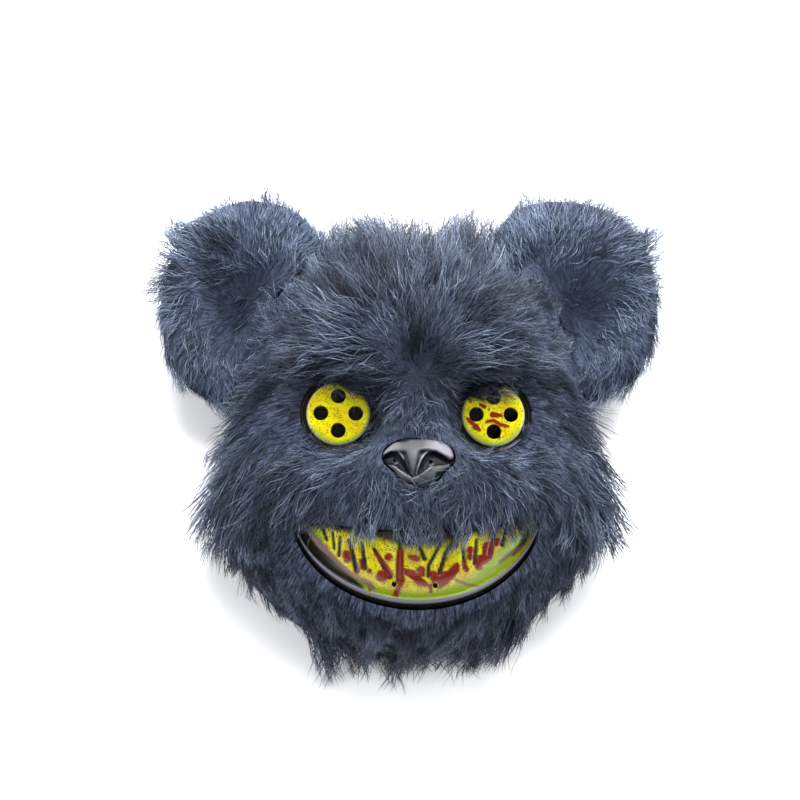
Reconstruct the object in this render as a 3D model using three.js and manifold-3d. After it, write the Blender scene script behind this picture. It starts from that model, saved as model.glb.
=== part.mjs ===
// A bear face mask for dressing up, lying face up on its rim. Millimetres.
// +X is the viewer's right, +Y runs from the chin to the forehead and +Z points out of the face.
// A moulded plastic shell carries a long-haired fur cover, two fur ears, two button eyes, a nose,
// a toothed mouth plate and an elastic head strap.
import * as THREE from "three";
import { mergeVertices } from "three/addons/utils/BufferGeometryUtils.js";
import Module from "manifold-3d";

const wasm = await Module();
wasm.setup();

// Face shell
const faceHalfWidth = 92;
const faceHalfHeight = 105;
const faceDepth = 74;
const faceRoundness = 2.4; // exponent of the dome's superellipse
const shellWall = 1.6;
const turnSteps = 38; // columns round the face
const outSteps = 12; // rows from the middle of the face to the rim

// Fur cover
const peltThickness = 5.5; // knitted backing and the dense lower part of the pile
const seatGap = 0.4; // between a piece and what it lies on
const peltGap = 0.6; // between the shell and the fur's backing
const hemHeight = 1; // the shell's rim stands this far below the fur's hem
const lockLength = 25;
const lockWidth = 13;
const lockThickness = 3.6;
const lockLift = 24; // degrees that a lock stands off the pelt
const lockSpacing = 31;

// Eyes
const eyeSpacing = 77;
const eyeHeightOnFace = 10.7; // above the middle of the face
const eyeSeatHeight = 60; // the shell is pressed flat at this height under each eye
const eyeDiscRadius = 16;
const eyeRimRadius = 18.6;
const eyeRimHeight = 1.6;
const eyeDiscHeight = 4.2; // top of the disc above the seat
const eyeCrown = 1; // doming of the disc
const eyeWall = 1.6;
const eyePlugRadius = 14.6; // the part that drops through the shell
const eyePlugDepth = 5;
const eyeSocketFloor = 3; // the shell is this thick under an eye's rim
const eyeHoleRadius = 3.7;
const eyeHolePitch = 8.6; // from the disc's centre to each hole's centre
const fitClearance = 0.5; // round each piece that stands in an opening

// Nose
const noseHalfWidth = 17.5;
const noseHalfHeight = 11.5;
const noseCentreOnFace = -17;
const noseRise = 10;
const noseTurnSteps = 24;
const nostrilDepth = 4.6;

// Mouth
const mouthHalfWidth = 59;
const mouthCornerOnFace = -42; // height of the corners on the face
const mouthUpperSag = 8; // the upper edge hangs this far below the corners
const mouthLowerSag = 43;
const mouthEndHeight = 4; // height of the plate where it ends at a corner
const plateThickness = 2;
const toothRise = 1.8;
const toothCount = 13;
const lipRise = 3.2;
const lipWidth = 5;

// Ears
const earHalfWidth = 42;
const earHalfHeight = 49;
const earCentreAcross = 84;
const earCentreOnFace = 76;
const earHollowHeight = 18; // top of the hollow above the rim's plane
const earCrestRise = 22; // the rolled edge stands this far above the hollow
const earPadThickness = 9;
const earTurnSteps = 20;
const earLockCount = 20;
const earLockLength = 17;

// Head strap
const strapWidth = 15;
const strapThickness = 1.2;
const strapAnchorOnFace = 14; // height on the face of the strap's ends
const strapAnchorHeight = 30; // how high up the side wall the strap is fixed
const strapRun = 34; // from the side wall to where the strap comes down to the ground
const strapBulge = 60; // how far the strap's middle lies towards the chin

// The rim seen from the front: how far it reaches at each angle from the forehead, as a share of
// the half width and the half height. It is the same on both sides.
const RIM = [
  { angle: 0, reach: 1.05 },
  { angle: 22.5, reach: 1.11 },
  { angle: 45, reach: 1.08 },
  { angle: 67.5, reach: 1 },
  { angle: 90, reach: 0.99 },
  { angle: 112.5, reach: 1.095 },
  { angle: 135, reach: 1.05 },
  { angle: 157.5, reach: 1.01 },
  { angle: 180, reach: 0.965 },
];

// Swellings and dents of the face. Places and widths are shares of the half width and half height,
// rises are shares of the face's depth, and both sides carry a mirrored pair where across isn't 0.
// A form with more flat than 1 has a broader top and steeper sides than a bell.
const FORMS = [
  { form: "forehead", across: 0, up: 0.62, wide: 0.62, high: 0.32, flat: 1, rise: 0.1 },
  { form: "brow", across: 0.4, up: 0.43, wide: 0.36, high: 0.16, flat: 1, rise: 0.12 },
  { form: "brow crease", across: 0, up: 0.4, wide: 0.08, high: 0.2, flat: 1, rise: -0.08 },
  { form: "eye socket", across: 0.43, up: 0.1, wide: 0.25, high: 0.17, flat: 1, rise: -0.1 },
  { form: "nose bridge", across: 0, up: 0.06, wide: 0.17, high: 0.2, flat: 1, rise: 0.06 },
  { form: "muzzle", across: 0, up: -0.38, wide: 0.57, high: 0.42, flat: 1.4, rise: 0.3 },
  { form: "smile crease", across: 0.7, up: -0.3, wide: 0.09, high: 0.2, flat: 1, rise: -0.06 },
  { form: "cheek", across: 0.86, up: -0.32, wide: 0.22, high: 0.3, flat: 1, rise: 0.12 },
  { form: "chin", across: 0, up: -0.82, wide: 0.46, high: 0.2, flat: 1, rise: 0.18 },
];

// The ear's outline from its centre: its reach at each angle from the top, outwards round the ear,
// as shares of the half sizes, for the ear at -X and the ear at +X.
const EAR_OUTLINE = [
  { angle: 0, left: 0.98, right: 1.0 },
  { angle: 45, left: 1.0, right: 1.1 },
  { angle: 90, left: 1.02, right: 1.0 },
  { angle: 135, left: 0.99, right: 0.97 },
  { angle: 180, left: 0.97, right: 0.97 },
  { angle: 225, left: 0.95, right: 0.95 },
  { angle: 270, left: 0.95, right: 0.95 },
  { angle: 315, left: 0.95, right: 0.95 },
];

// Across the ear, from its middle to its edge: how high the front face stands above the hollow, as
// a share of the crest's rise, and how deep the back face lies, as a share of the pad's thickness.
const EAR_SECTION = [
  { out: 0, front: 0, back: 1 },
  { out: 0.34, front: 0.1, back: 1 },
  { out: 0.6, front: 0.62, back: 0.75 },
  { out: 0.8, front: 1, back: -0.1 },
  { out: 0.94, front: 0.86, back: -0.85 },
];
const EAR_EDGE_RISE = 0.52; // the edge's height as a share of the crest's rise

// Across the mouth plate, from the upper edge to the lip: how far down each row lies, as a share of
// the plate's height there, and how much of the tooth's and the lip's rise it takes.
const PLATE_ROWS = [
  { down: 0, tooth: 0.3, lip: 0 },
  { down: 0.22, tooth: 1, lip: 0 },
  { down: 0.48, tooth: 1, lip: 0 },
  { down: 0.7, tooth: 0.75, lip: 0 },
  { down: 0.8, tooth: 0.1, lip: 0.1 },
];
const LIP_ROWS = [
  { up: 1, lip: 0.25 },
  { up: 0.55, lip: 1 },
  { up: 0, lip: 0.35 },
];

// The nose seen from the front: reach at each angle from its top, and its height section.
const NOSE_OUTLINE = [
  { angle: 0, reach: 0.9 },
  { angle: 30, reach: 1.0 },
  { angle: 60, reach: 1.06 },
  { angle: 90, reach: 0.98 },
  { angle: 120, reach: 0.8 },
  { angle: 150, reach: 0.88 },
  { angle: 180, reach: 0.96 },
];
const NOSE_ROWS = [0.28, 0.5, 0.7, 0.86, 1];

const trimDepth = 6; // a piece's back starts this far under its seat before it is trimmed
const underDepth = 5; // how far a trimming solid reaches below the rim's plane
const DEGREE = Math.PI / 180;
const FULL_TURN = 2 * Math.PI;

// A column of a table of evenly spaced angles, read smoothly at any angle in degrees. A table that
// stops at 180 is read as its mirror image beyond.
function readTurn(table, column, angle) {
  const step = table[1].angle - table[0].angle;
  const mirrored = table[table.length - 1].angle === 180;
  const count = mirrored ? 2 * (table.length - 1) : table.length;
  const row = (i) => {
    const k = ((i % count) + count) % count;
    return table[mirrored && k >= table.length ? count - k : k][column];
  };
  const at = angle / step;
  const i = Math.floor(at);
  const t = at - i;
  const [a, b, c, d] = [row(i - 1), row(i), row(i + 1), row(i + 2)];
  return b + 0.5 * t * (c - a + t * (2 * a - 5 * b + 4 * c - d + t * (3 * (b - c) + d - a)));
}

// How far out towards the rim a place on the face lies: 0 in the middle, 1 at the rim.
function outShare(x, y) {
  const across = x / faceHalfWidth;
  const up = y / faceHalfHeight;
  const angle = Math.abs(Math.atan2(across, up)) / DEGREE;
  return Math.hypot(across, up) / readTurn(RIM, "reach", angle);
}

// A swelling's height at a place, 1 at its middle.
function swell(x, y, row, side) {
  const dx = (x / faceHalfWidth - side * row.across) / row.wide;
  const dy = (y / faceHalfHeight - row.up) / row.high;
  return Math.exp(-Math.pow(dx * dx + dy * dy, row.flat));
}

// How flat the face is pressed at a place for an eye's seat: 1 under the eye, 0 well clear of it.
function seatShare(x, y) {
  const away = Math.hypot(Math.abs(x) - eyeSpacing / 2, y - eyeHeightOnFace);
  const flatTo = eyeRimRadius + 3;
  const bandWidth = 12;
  return 1 - THREE.MathUtils.smoothstep(away, flatTo, flatTo + bandWidth);
}

// Height of the shell's outer face above the rim's plane.
function faceHeight(x, y) {
  const out = Math.min(outShare(x, y), 1);
  const dome = faceDepth * Math.pow(1 - Math.pow(out, faceRoundness), 1 / faceRoundness);
  let rise = 0;
  for (const row of FORMS) {
    rise += row.rise * swell(x, y, row, 1);
    if (row.across) rise += row.rise * swell(x, y, row, -1);
  }
  const fade = 1 - Math.pow(out, 8); // the forms run out at the rim
  const height = dome + faceDepth * rise * fade;
  return THREE.MathUtils.lerp(height, eyeSeatHeight, seatShare(x, y));
}

// A place on the shell's outer face, at an angle from the forehead and a share of the way out.
function facePoint(turn, out) {
  const reach = out * readTurn(RIM, "reach", turn / DEGREE);
  const x = faceHalfWidth * reach * Math.sin(turn);
  const y = faceHalfHeight * reach * Math.cos(turn);
  return new THREE.Vector3(x, y, out >= 1 ? 0 : faceHeight(x, y));
}

// The outward normal there, over a patch about as wide as the facets.
function faceNormal(turn, out) {
  const outStep = 0.02;
  const turnStep = 0.06;
  if (out < outStep) return new THREE.Vector3(0, 0, 1);
  const inner = facePoint(turn, out - outStep);
  const outer = facePoint(turn, Math.min(out + outStep, 1));
  const before = facePoint(turn - turnStep, out);
  const after = facePoint(turn + turnStep, out);
  const normal = outer.sub(inner).cross(before.sub(after)).normalize();
  if (out >= 1) normal.setZ(0).normalize();
  return normal;
}

// The row's share of the way out: close together at the steep side, wider over the face.
function rowOut(i) {
  return 1 - Math.pow(1 - i / outSteps, 1.6);
}

// A closed mesh from its corners and faces.
function meshFrom(points, faces) {
  const geometry = new THREE.BufferGeometry();
  const flat = points.flatMap((p) => [p.x, p.y, p.z]);
  geometry.setAttribute("position", new THREE.Float32BufferAttribute(flat, 3));
  geometry.setIndex(faces.flat());
  return geometry;
}

// The two triangles of a four-cornered face.
function quad(a, b, c, d) {
  return [a, b, c, a, c, d];
}

// A closed body between two skins of rings about a middle point. The front skin's first point is
// its middle, then each ring in turn, outwards; the back skin is laid out alike.
function ringBody(front, back, columns) {
  const points = [...front, ...back];
  const rings = (front.length - 1) / columns;
  const faces = [];
  const at = (skin, ring, column) => skin + 1 + ring * columns + (column % columns);
  const b = front.length;
  const last = rings - 1;
  for (let c = 0; c < columns; c++) {
    faces.push([0, at(0, 0, c + 1), at(0, 0, c)]);
    faces.push([b, at(b, 0, c), at(b, 0, c + 1)]);
    for (let r = 0; r < last; r++) {
      const top = [at(0, r, c), at(0, r, c + 1), at(0, r + 1, c + 1), at(0, r + 1, c)];
      const under = [at(b, r, c), at(b, r + 1, c), at(b, r + 1, c + 1), at(b, r, c + 1)];
      if (2 * c >= columns) {
        top.push(top.shift()); // the far half is split the other way, so the sides mirror
        under.push(under.shift());
      }
      faces.push(quad(...top), quad(...under));
    }
    faces.push(quad(at(0, last, c), at(0, last, c + 1), at(b, last, c + 1), at(b, last, c)));
  }
  return meshFrom(points, faces);
}

// The solid that manifold-3d joins and cuts.
function solid(geometry) {
  const bare = geometry.index ? geometry.clone() : mergeVertices(geometry);
  for (const name of ["normal", "uv"]) bare.deleteAttribute(name);
  const merged = mergeVertices(bare, 1e-4);
  return new wasm.Manifold(
    new wasm.Mesh({
      numProp: 3,
      vertProperties: new Float32Array(merged.attributes.position.array),
      triVerts: new Uint32Array(merged.index.array),
    }),
  );
}

// The three.js geometry of a cut or joined solid.
function geometryOf(made) {
  const mesh = made.getMesh();
  const position = new Float32Array(mesh.numVert * 3);
  for (let i = 0; i < mesh.numVert; i++) {
    const from = i * mesh.numProp;
    position.set(mesh.vertProperties.subarray(from, from + 3), i * 3);
  }
  const geometry = new THREE.BufferGeometry();
  geometry.setAttribute("position", new THREE.BufferAttribute(position, 3));
  geometry.setIndex(new THREE.BufferAttribute(mesh.triVerts, 1));
  geometry.computeVertexNormals();
  return geometry;
}

// The face at an offset from the shell's outer face: its middle point, then ring after ring.
function faceSkin(offset) {
  const middle = facePoint(0, 0);
  const points = [middle.setZ(middle.z + offset)];
  for (let i = 1; i <= outSteps; i++) {
    for (let c = 0; c < turnSteps; c++) {
      const turn = (c * FULL_TURN) / turnSteps;
      const out = rowOut(i);
      points.push(facePoint(turn, out).addScaledVector(faceNormal(turn, out), offset));
    }
  }
  return points;
}

// The largest body of a solid that a cut has left in pieces.
function largest(made) {
  return made.decompose().reduce((most, s) => (s.volume() > most.volume() ? s : most));
}

// A wall of the face between two offsets from the shell's outer face.
function faceWall(outerOffset, innerOffset) {
  return solid(ringBody(faceSkin(outerOffset), faceSkin(innerOffset), turnSteps));
}

// Everything from below the rim's plane up to an offset from the shell's outer face.
function underFace(offset) {
  const skin = faceSkin(offset);
  const floor = skin.map((p) => new THREE.Vector3(p.x, p.y, -underDepth));
  return solid(ringBody(skin, floor, turnSteps));
}

// A round post standing on a height.
function roundPost(x, y, bottom, height, radius, sides) {
  const post = new THREE.CylinderGeometry(radius, radius, height, sides);
  post.rotateX(Math.PI / 2);
  post.translate(x, y, bottom + height / 2);
  return solid(post);
}

// A straight cutter of any outline, through the whole face.
function outlineCutter(outline) {
  const middle = outline.reduce((sum, p) => sum.add(p), new THREE.Vector2());
  middle.divideScalar(outline.length);
  const level = (z) => [middle, ...outline].map((p) => new THREE.Vector3(p.x, p.y, z));
  return solid(ringBody(level(2 * faceDepth), level(0), outline.length));
}

const eyeCentres = [-1, 1].map((side) => ({ side, x: (side * eyeSpacing) / 2, y: eyeHeightOnFace }));

function faceShell() {
  let shell = faceWall(0, -shellWall);
  const within = underFace(-0.5 * shellWall);
  const socketRadius = eyeRimRadius + fitClearance;
  const holeRadius = eyePlugRadius + fitClearance;
  for (const { x, y } of eyeCentres) {
    const bottom = eyeSeatHeight - eyeSocketFloor;
    const outside = socketRadius + shellWall;
    shell = shell.add(roundPost(x, y, bottom, faceDepth, outside, 28).intersect(within));
    shell = shell.subtract(roundPost(x, y, eyeSeatHeight, faceDepth, socketRadius, 28));
    shell = shell.subtract(roundPost(x, y, 0, 2 * faceDepth, holeRadius, 24));
  }
  return shell;
}

// One eye: a domed disc in a low rim, with a plug that drops through the shell, and four holes.
function buttonEye() {
  const top = eyeDiscHeight;
  const groove = (eyeDiscRadius + eyeRimRadius) / 2 - 0.4;
  const profile = [
    [0, top - eyeWall],
    [eyePlugRadius - eyeWall, top - eyeWall - eyeCrown / 2],
    [eyePlugRadius - eyeWall, -eyePlugDepth],
    [eyePlugRadius, -eyePlugDepth],
    [eyePlugRadius, 0],
    [eyeRimRadius, 0],
    [eyeRimRadius, eyeRimHeight * 0.7],
    [eyeRimRadius - 0.7, eyeRimHeight],
    [groove, eyeRimHeight * 0.45],
    [eyeDiscRadius, top * 0.55],
    [eyeDiscRadius - 0.9, top - eyeCrown],
    [0, top],
  ].map(([r, z]) => new THREE.Vector2(r, z));
  const lathe = new THREE.LatheGeometry(profile, 20);
  lathe.rotateX(Math.PI / 2);
  let eye = solid(lathe);
  for (let i = 0; i < 4; i++) {
    const turn = (i * FULL_TURN) / 4;
    const x = eyeHolePitch * Math.cos(turn);
    const y = eyeHolePitch * Math.sin(turn);
    const through = eyePlugDepth + 2 * top;
    eye = eye.subtract(roundPost(x, y, -eyePlugDepth, through, eyeHoleRadius, 10));
  }
  return eye;
}

// An outline, given clockwise, moved outwards by a clearance.
function grown(outline, clearance) {
  return outline.map((p, i) => {
    const before = outline[(i + outline.length - 1) % outline.length];
    const after = outline[(i + 1) % outline.length];
    const into = p.clone().sub(before).normalize();
    const away = after.clone().sub(p).normalize();
    const out = new THREE.Vector2(-(into.y + away.y), into.x + away.x).normalize();
    const spread = Math.max(Math.hypot(into.x + away.x, into.y + away.y) / 2, 0.3);
    return p.clone().addScaledVector(out, clearance / spread);
  });
}

// The nose's outline, clockwise from its top.
function noseOutline() {
  const points = [];
  for (let c = 0; c < noseTurnSteps; c++) {
    const turn = (c * FULL_TURN) / noseTurnSteps;
    const reach = readTurn(NOSE_OUTLINE, "reach", turn / DEGREE);
    const x = noseHalfWidth * reach * Math.sin(turn);
    const y = noseHalfHeight * reach * Math.cos(turn);
    points.push(new THREE.Vector2(x, noseCentreOnFace + y));
  }
  return points;
}

// A moulded nose: a rounded pad with a ridge down its middle and a hollow nostril on each side.
function noseHeight(across, up, out) {
  const dome = Math.pow(Math.max(1 - out * out, 0), 0.38);
  const nostrilAcross = (Math.abs(across) - 0.47) / 0.24;
  const nostrilUp = (up + 0.12) / 0.3;
  const nostril = Math.exp(-nostrilAcross * nostrilAcross - nostrilUp * nostrilUp);
  return noseRise * dome - nostrilDepth * nostril * Math.min(1, 3 * (1 - out));
}

function nose() {
  const outline = noseOutline();
  const centre = new THREE.Vector2(0, noseCentreOnFace);
  const front = [];
  const back = [];
  const add = (p, out) => {
    const seat = faceHeight(p.x, p.y) + seatGap;
    const across = p.x / noseHalfWidth;
    const up = (p.y - centre.y) / noseHalfHeight;
    const edge = 1.2; // the pad's edge is this thick
    front.push(new THREE.Vector3(p.x, p.y, seat + edge + noseHeight(across, up, out)));
    back.push(new THREE.Vector3(p.x, p.y, seat - trimDepth));
  };
  add(centre, 0);
  for (const out of NOSE_ROWS) {
    for (const p of outline) add(centre.clone().lerp(p, out), out);
  }
  return solid(ringBody(front, back, noseTurnSteps)).subtract(underFace(seatGap));
}

// The mouth's upper and lower edge at a share of the way from its middle to a corner.
function mouthEdges(along) {
  const open = 1 - along * along;
  const upper = mouthCornerOnFace - mouthUpperSag * open;
  const end = mouthCornerOnFace - mouthEndHeight;
  const lower = end - (mouthLowerSag - mouthEndHeight) * Math.pow(open, 0.62);
  return { x: mouthHalfWidth * along, upper, lower };
}

// The mouth's columns from the left corner to the right, two to a tooth, closer near the corners.
function mouthColumns() {
  const columns = [];
  const spread = 0.94; // how far the spacing follows a half circle
  for (let c = 0; c <= 2 * toothCount; c++) {
    const turn = (c / toothCount - 1) * 0.5 * Math.PI * spread;
    columns.push(mouthEdges(Math.sin(turn) / Math.sin(0.5 * Math.PI * spread)));
  }
  return columns;
}

// The mouth's outline, clockwise from its upper left corner.
function mouthOutline() {
  const columns = mouthColumns();
  const upper = columns.map((edge) => new THREE.Vector2(edge.x, edge.upper));
  const lower = columns.map((edge) => new THREE.Vector2(edge.x, edge.lower));
  return [...upper, ...lower.reverse()];
}

// The toothed plate: a curved strip on the shell with a tooth's crest at every other column, a gum
// line under the teeth and a rolled lip along the lower edge.
function mouthPlate() {
  const edges = mouthColumns();
  const columns = edges.length - 1;
  const rows = PLATE_ROWS.length + LIP_ROWS.length;
  const front = [];
  const back = [];
  edges.forEach((edge, c) => {
    const crest = c % 2;
    const height = edge.upper - edge.lower;
    const lipTop = Math.min(lipWidth, 0.5 * height);
    const place = (y, rise) => {
      const seat = faceHeight(edge.x, y) + seatGap;
      front.push(new THREE.Vector3(edge.x, y, seat + plateThickness + rise));
      back.push(new THREE.Vector3(edge.x, y, seat - trimDepth));
    };
    for (const row of PLATE_ROWS) {
      const y = edge.upper - (row.down * (height - lipTop)) / 0.86;
      place(y, toothRise * row.tooth * crest + lipRise * row.lip);
    }
    for (const row of LIP_ROWS) place(edge.lower + row.up * lipTop, lipRise * row.lip);
  });
  const points = [...front, ...back];
  const b = front.length;
  const faces = [];
  const at = (skin, c, r) => skin + c * rows + r;
  for (let c = 0; c < columns; c++) {
    for (let r = 0; r < rows - 1; r++) {
      faces.push(quad(at(0, c, r), at(0, c, r + 1), at(0, c + 1, r + 1), at(0, c + 1, r)));
      faces.push(quad(at(b, c, r), at(b, c + 1, r), at(b, c + 1, r + 1), at(b, c, r + 1)));
    }
    faces.push(quad(at(0, c, 0), at(0, c + 1, 0), at(b, c + 1, 0), at(b, c, 0)));
    const last = rows - 1;
    faces.push(quad(at(0, c, last), at(b, c, last), at(b, c + 1, last), at(0, c + 1, last)));
  }
  for (let r = 0; r < rows - 1; r++) {
    faces.push(quad(at(0, 0, r), at(b, 0, r), at(b, 0, r + 1), at(0, 0, r + 1)));
    faces.push(quad(at(0, columns, r), at(0, columns, r + 1), at(b, columns, r + 1), at(b, columns, r)));
  }
  return solid(meshFrom(points, faces)).subtract(underFace(seatGap));
}

// One lock of fur: a flat tapering spike from under the pelt's surface, bent along its length.
function lock(root, normal, along, length, width, thickness, lift) {
  const side = new THREE.Vector3().crossVectors(normal, along).normalize();
  const rising = Math.tan(lift * DEGREE);
  const bury = 0.5 * thickness;
  const sections = [
    { go: -0.06, up: -bury / length, wide: 0.8, thick: 0.9 },
    { go: 0.3, up: 0.34 * rising, wide: 1, thick: 1 },
    { go: 0.68, up: 0.78 * rising, wide: 0.62, thick: 0.62 },
  ];
  const points = [];
  for (const s of sections) {
    const centre = root.clone().addScaledVector(along, s.go * length);
    centre.addScaledVector(normal, s.up * length);
    for (const [w, t] of [[1, 0], [0, 1], [-1, 0], [0, -1]]) {
      const p = centre.clone().addScaledVector(side, (w * s.wide * width) / 2);
      points.push(p.addScaledVector(normal, (t * s.thick * thickness) / 2));
    }
  }
  const tip = root.clone().addScaledVector(along, length);
  points.push(tip.addScaledVector(normal, 0.86 * rising * length));
  const faces = [quad(3, 2, 1, 0)];
  for (let k = 0; k < 4; k++) {
    const n = (k + 1) % 4;
    faces.push(quad(k, n, 4 + n, 4 + k));
    faces.push(quad(4 + k, 4 + n, 8 + n, 8 + k));
    faces.push([8 + k, 8 + n, 12]);
  }
  return solid(meshFrom(points, faces));
}

// Which way the fur is combed at a place on the face, seen from the front: outwards from between
// the brows, and downwards below the eyes.
function combing(x, y) {
  const source = 0.2 * faceHalfHeight;
  const way = new THREE.Vector2(x, y - source).normalize();
  const below = 1 - THREE.MathUtils.smoothstep(y, -0.5 * faceHalfHeight, 0.05 * faceHalfHeight);
  return way.add(new THREE.Vector2(0, -1.4 * below)).normalize();
}

// The direction along the pelt that leads the way the fur is combed.
function alongPelt(x, y, normal) {
  const way = combing(x, y);
  const along = new THREE.Vector3(way.x, way.y, 0);
  along.addScaledVector(normal, -along.dot(normal));
  if (along.length() < 0.3) along.add(new THREE.Vector3(0, 0, -0.6));
  return along.addScaledVector(normal, -along.dot(normal)).normalize();
}

// True if a place on the face is too near an eye, the nose, the mouth or an ear to root a lock.
function lockIsInTheWay(point, tip) {
  const near = (p, grow) => {
    const eye = Math.hypot(Math.abs(p.x) - eyeSpacing / 2, p.y - eyeHeightOnFace);
    if (eye < eyeRimRadius + grow) return true;
    const noseAcross = Math.abs(p.x) / (noseHalfWidth + grow);
    const noseUp = (p.y - noseCentreOnFace) / (noseHalfHeight + grow);
    if (Math.hypot(noseAcross, noseUp) < 1.1) return true;
    const along = p.x / (mouthHalfWidth + grow);
    if (Math.abs(along) >= 1) return false;
    const edge = mouthEdges(along);
    return p.y < edge.upper + grow && p.y > edge.lower - grow;
  };
  const onEar = (p) => {
    const across = (Math.abs(p.x) - earCentreAcross) / (earHalfWidth + lockWidth);
    const up = (p.y - earCentreOnFace) / (earHalfHeight + lockWidth);
    return Math.hypot(across, up) < 1 && p.z < earHollowHeight + earCrestRise + lockWidth;
  };
  return near(point, 0.55 * lockWidth) || near(tip, 0.2 * lockWidth) || onEar(point) || onEar(tip);
}

function furCover() {
  const outer = peltGap + peltThickness;
  let pelt = faceWall(outer, peltGap);
  const eyeOpening = eyeRimRadius + fitClearance;
  for (const { x, y } of eyeCentres) {
    pelt = pelt.subtract(roundPost(x, y, 0, 2 * faceDepth, eyeOpening, 28));
  }
  for (const outline of [noseOutline(), mouthOutline()]) {
    pelt = pelt.subtract(outlineCutter(grown(outline, fitClearance)));
  }
  const slab = new THREE.BoxGeometry(4 * faceHalfWidth, 4 * faceHalfHeight, 2 * hemHeight);
  pelt = pelt.subtract(solid(slab));
  const locks = [];
  const rowGap = lockSpacing;
  const rings = [0.24, 0.42, 0.6, 0.75, 0.87, 0.95, 0.99];
  rings.forEach((out, ring) => {
    const round = FULL_TURN * out * faceHalfHeight;
    const count = Math.round(round / rowGap);
    for (let i = 0; i < count; i++) {
      const turn = ((i + 0.5 * (ring % 2)) * FULL_TURN) / count;
      const normal = faceNormal(turn, out);
      const root = facePoint(turn, out).addScaledVector(normal, outer);
      const along = alongPelt(root.x, root.y, normal);
      const wave = 0.86 + 0.14 * Math.cos(5 * i + 3 * ring);
      const length = lockLength * wave;
      const tip = root.clone().addScaledVector(along, length);
      if (tip.z < hemHeight || root.z < hemHeight + lockThickness) {
        along.setZ(Math.max(along.z, -0.2)).normalize();
        tip.copy(root).addScaledVector(along, length);
      }
      if (tip.z < hemHeight + lockThickness || lockIsInTheWay(root, tip)) continue;
      locks.push(lock(root, normal, along, length, lockWidth, lockThickness, lockLift * wave));
    }
  });
  return largest(wasm.Manifold.union([pelt, ...locks]));
}

// An ear: a cupped pad with a thick rolled edge and locks of fur round it.
function ear(side, head) {
  const column = side < 0 ? "left" : "right";
  const middle = new THREE.Vector2(side * earCentreAcross, earCentreOnFace);
  const place = (turn, out) => {
    const reach = readTurn(EAR_OUTLINE, column, turn / DEGREE) * out;
    const x = middle.x + side * earHalfWidth * reach * Math.sin(turn);
    return new THREE.Vector2(x, middle.y + earHalfHeight * reach * Math.cos(turn));
  };
  const front = [];
  const back = [];
  const crest = earHollowHeight + earCrestRise;
  EAR_SECTION.forEach((row, i) => {
    for (let c = 0; c < (i ? earTurnSteps : 1); c++) {
      const p = place((c * FULL_TURN) / earTurnSteps, row.out);
      front.push(new THREE.Vector3(p.x, p.y, earHollowHeight + earCrestRise * row.front));
      back.push(new THREE.Vector3(p.x, p.y, earHollowHeight - earPadThickness * row.back));
    }
  });
  for (let c = 0; c < earTurnSteps; c++) {
    const p = place((c * FULL_TURN) / earTurnSteps, 1);
    const edge = earHollowHeight + earCrestRise * EAR_EDGE_RISE;
    front.push(new THREE.Vector3(p.x, p.y, edge + 1));
    back.push(new THREE.Vector3(p.x, p.y, edge - 1));
  }
  const body = ringBody(front, back, earTurnSteps);
  if (side < 0) body.index.array.reverse();
  let made = solid(body);
  const locks = [];
  for (let i = 0; i < earLockCount; i++) {
    const turn = ((i + 0.5) * FULL_TURN) / earLockCount;
    const out = i % 2 ? 0.93 : 0.8;
    const p = place(turn, out);
    const q = place(turn, 1);
    const along = new THREE.Vector3(q.x - p.x, q.y - p.y, 0).normalize();
    const inward = Math.sin(turn) < -0.45;
    if (inward) continue;
    const height = i % 2 ? crest - 0.3 * earCrestRise : crest - 0.06 * earCrestRise;
    const root = new THREE.Vector3(p.x, p.y, height);
    const up = new THREE.Vector3(0, 0, 1);
    locks.push(lock(root, up, along, earLockLength, lockWidth, lockThickness, i % 2 ? 2 : 12));
  }
  made = wasm.Manifold.union([made, ...locks]);
  return largest(made.subtract(head));
}

// The elastic strap: fixed inside the temples, down to the ground and across it in a slack bow.
function headStrap() {
  const ground = 0.5 * strapThickness;
  const wallEnd = faceHalfWidth * readTurn(RIM, "reach", 90);
  const foot = wallEnd - strapRun;
  const path = [new THREE.Vector3(-wallEnd, strapAnchorOnFace, strapAnchorHeight)];
  const steps = 12;
  for (let i = 0; i <= steps; i++) {
    const along = -1 + (2 * i) / steps;
    const y = strapAnchorOnFace - strapBulge * (1 - along * along);
    path.push(new THREE.Vector3(along * foot, y, ground));
  }
  path.push(new THREE.Vector3(wallEnd, strapAnchorOnFace, strapAnchorHeight));
  const points = [];
  path.forEach((p, i) => {
    const before = path[Math.max(i - 1, 0)];
    const after = path[Math.min(i + 1, path.length - 1)];
    const along = after.clone().sub(before);
    if (i === 0 || i === path.length - 1) along.setY(0);
    else along.setZ(0);
    along.normalize();
    const wide = new THREE.Vector3(0, 1, 0);
    wide.addScaledVector(along, -wide.dot(along)).normalize();
    const thick = new THREE.Vector3().crossVectors(along, wide).normalize();
    for (const [w, t] of [[1, 1], [-1, 1], [-1, -1], [1, -1]]) {
      const corner = p.clone().addScaledVector(wide, (w * strapWidth) / 2);
      points.push(corner.addScaledVector(thick, (t * strapThickness) / 2));
    }
  });
  const faces = [quad(3, 2, 1, 0)];
  for (let i = 0; i < path.length - 1; i++) {
    for (let k = 0; k < 4; k++) {
      const n = (k + 1) % 4;
      faces.push(quad(4 * i + k, 4 * i + n, 4 * i + 4 + n, 4 * i + 4 + k));
    }
  }
  const end = 4 * (path.length - 1);
  faces.push(quad(end, end + 1, end + 2, end + 3));
  return solid(meshFrom(points, faces)).intersect(underFace(-shellWall - seatGap));
}

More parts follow.
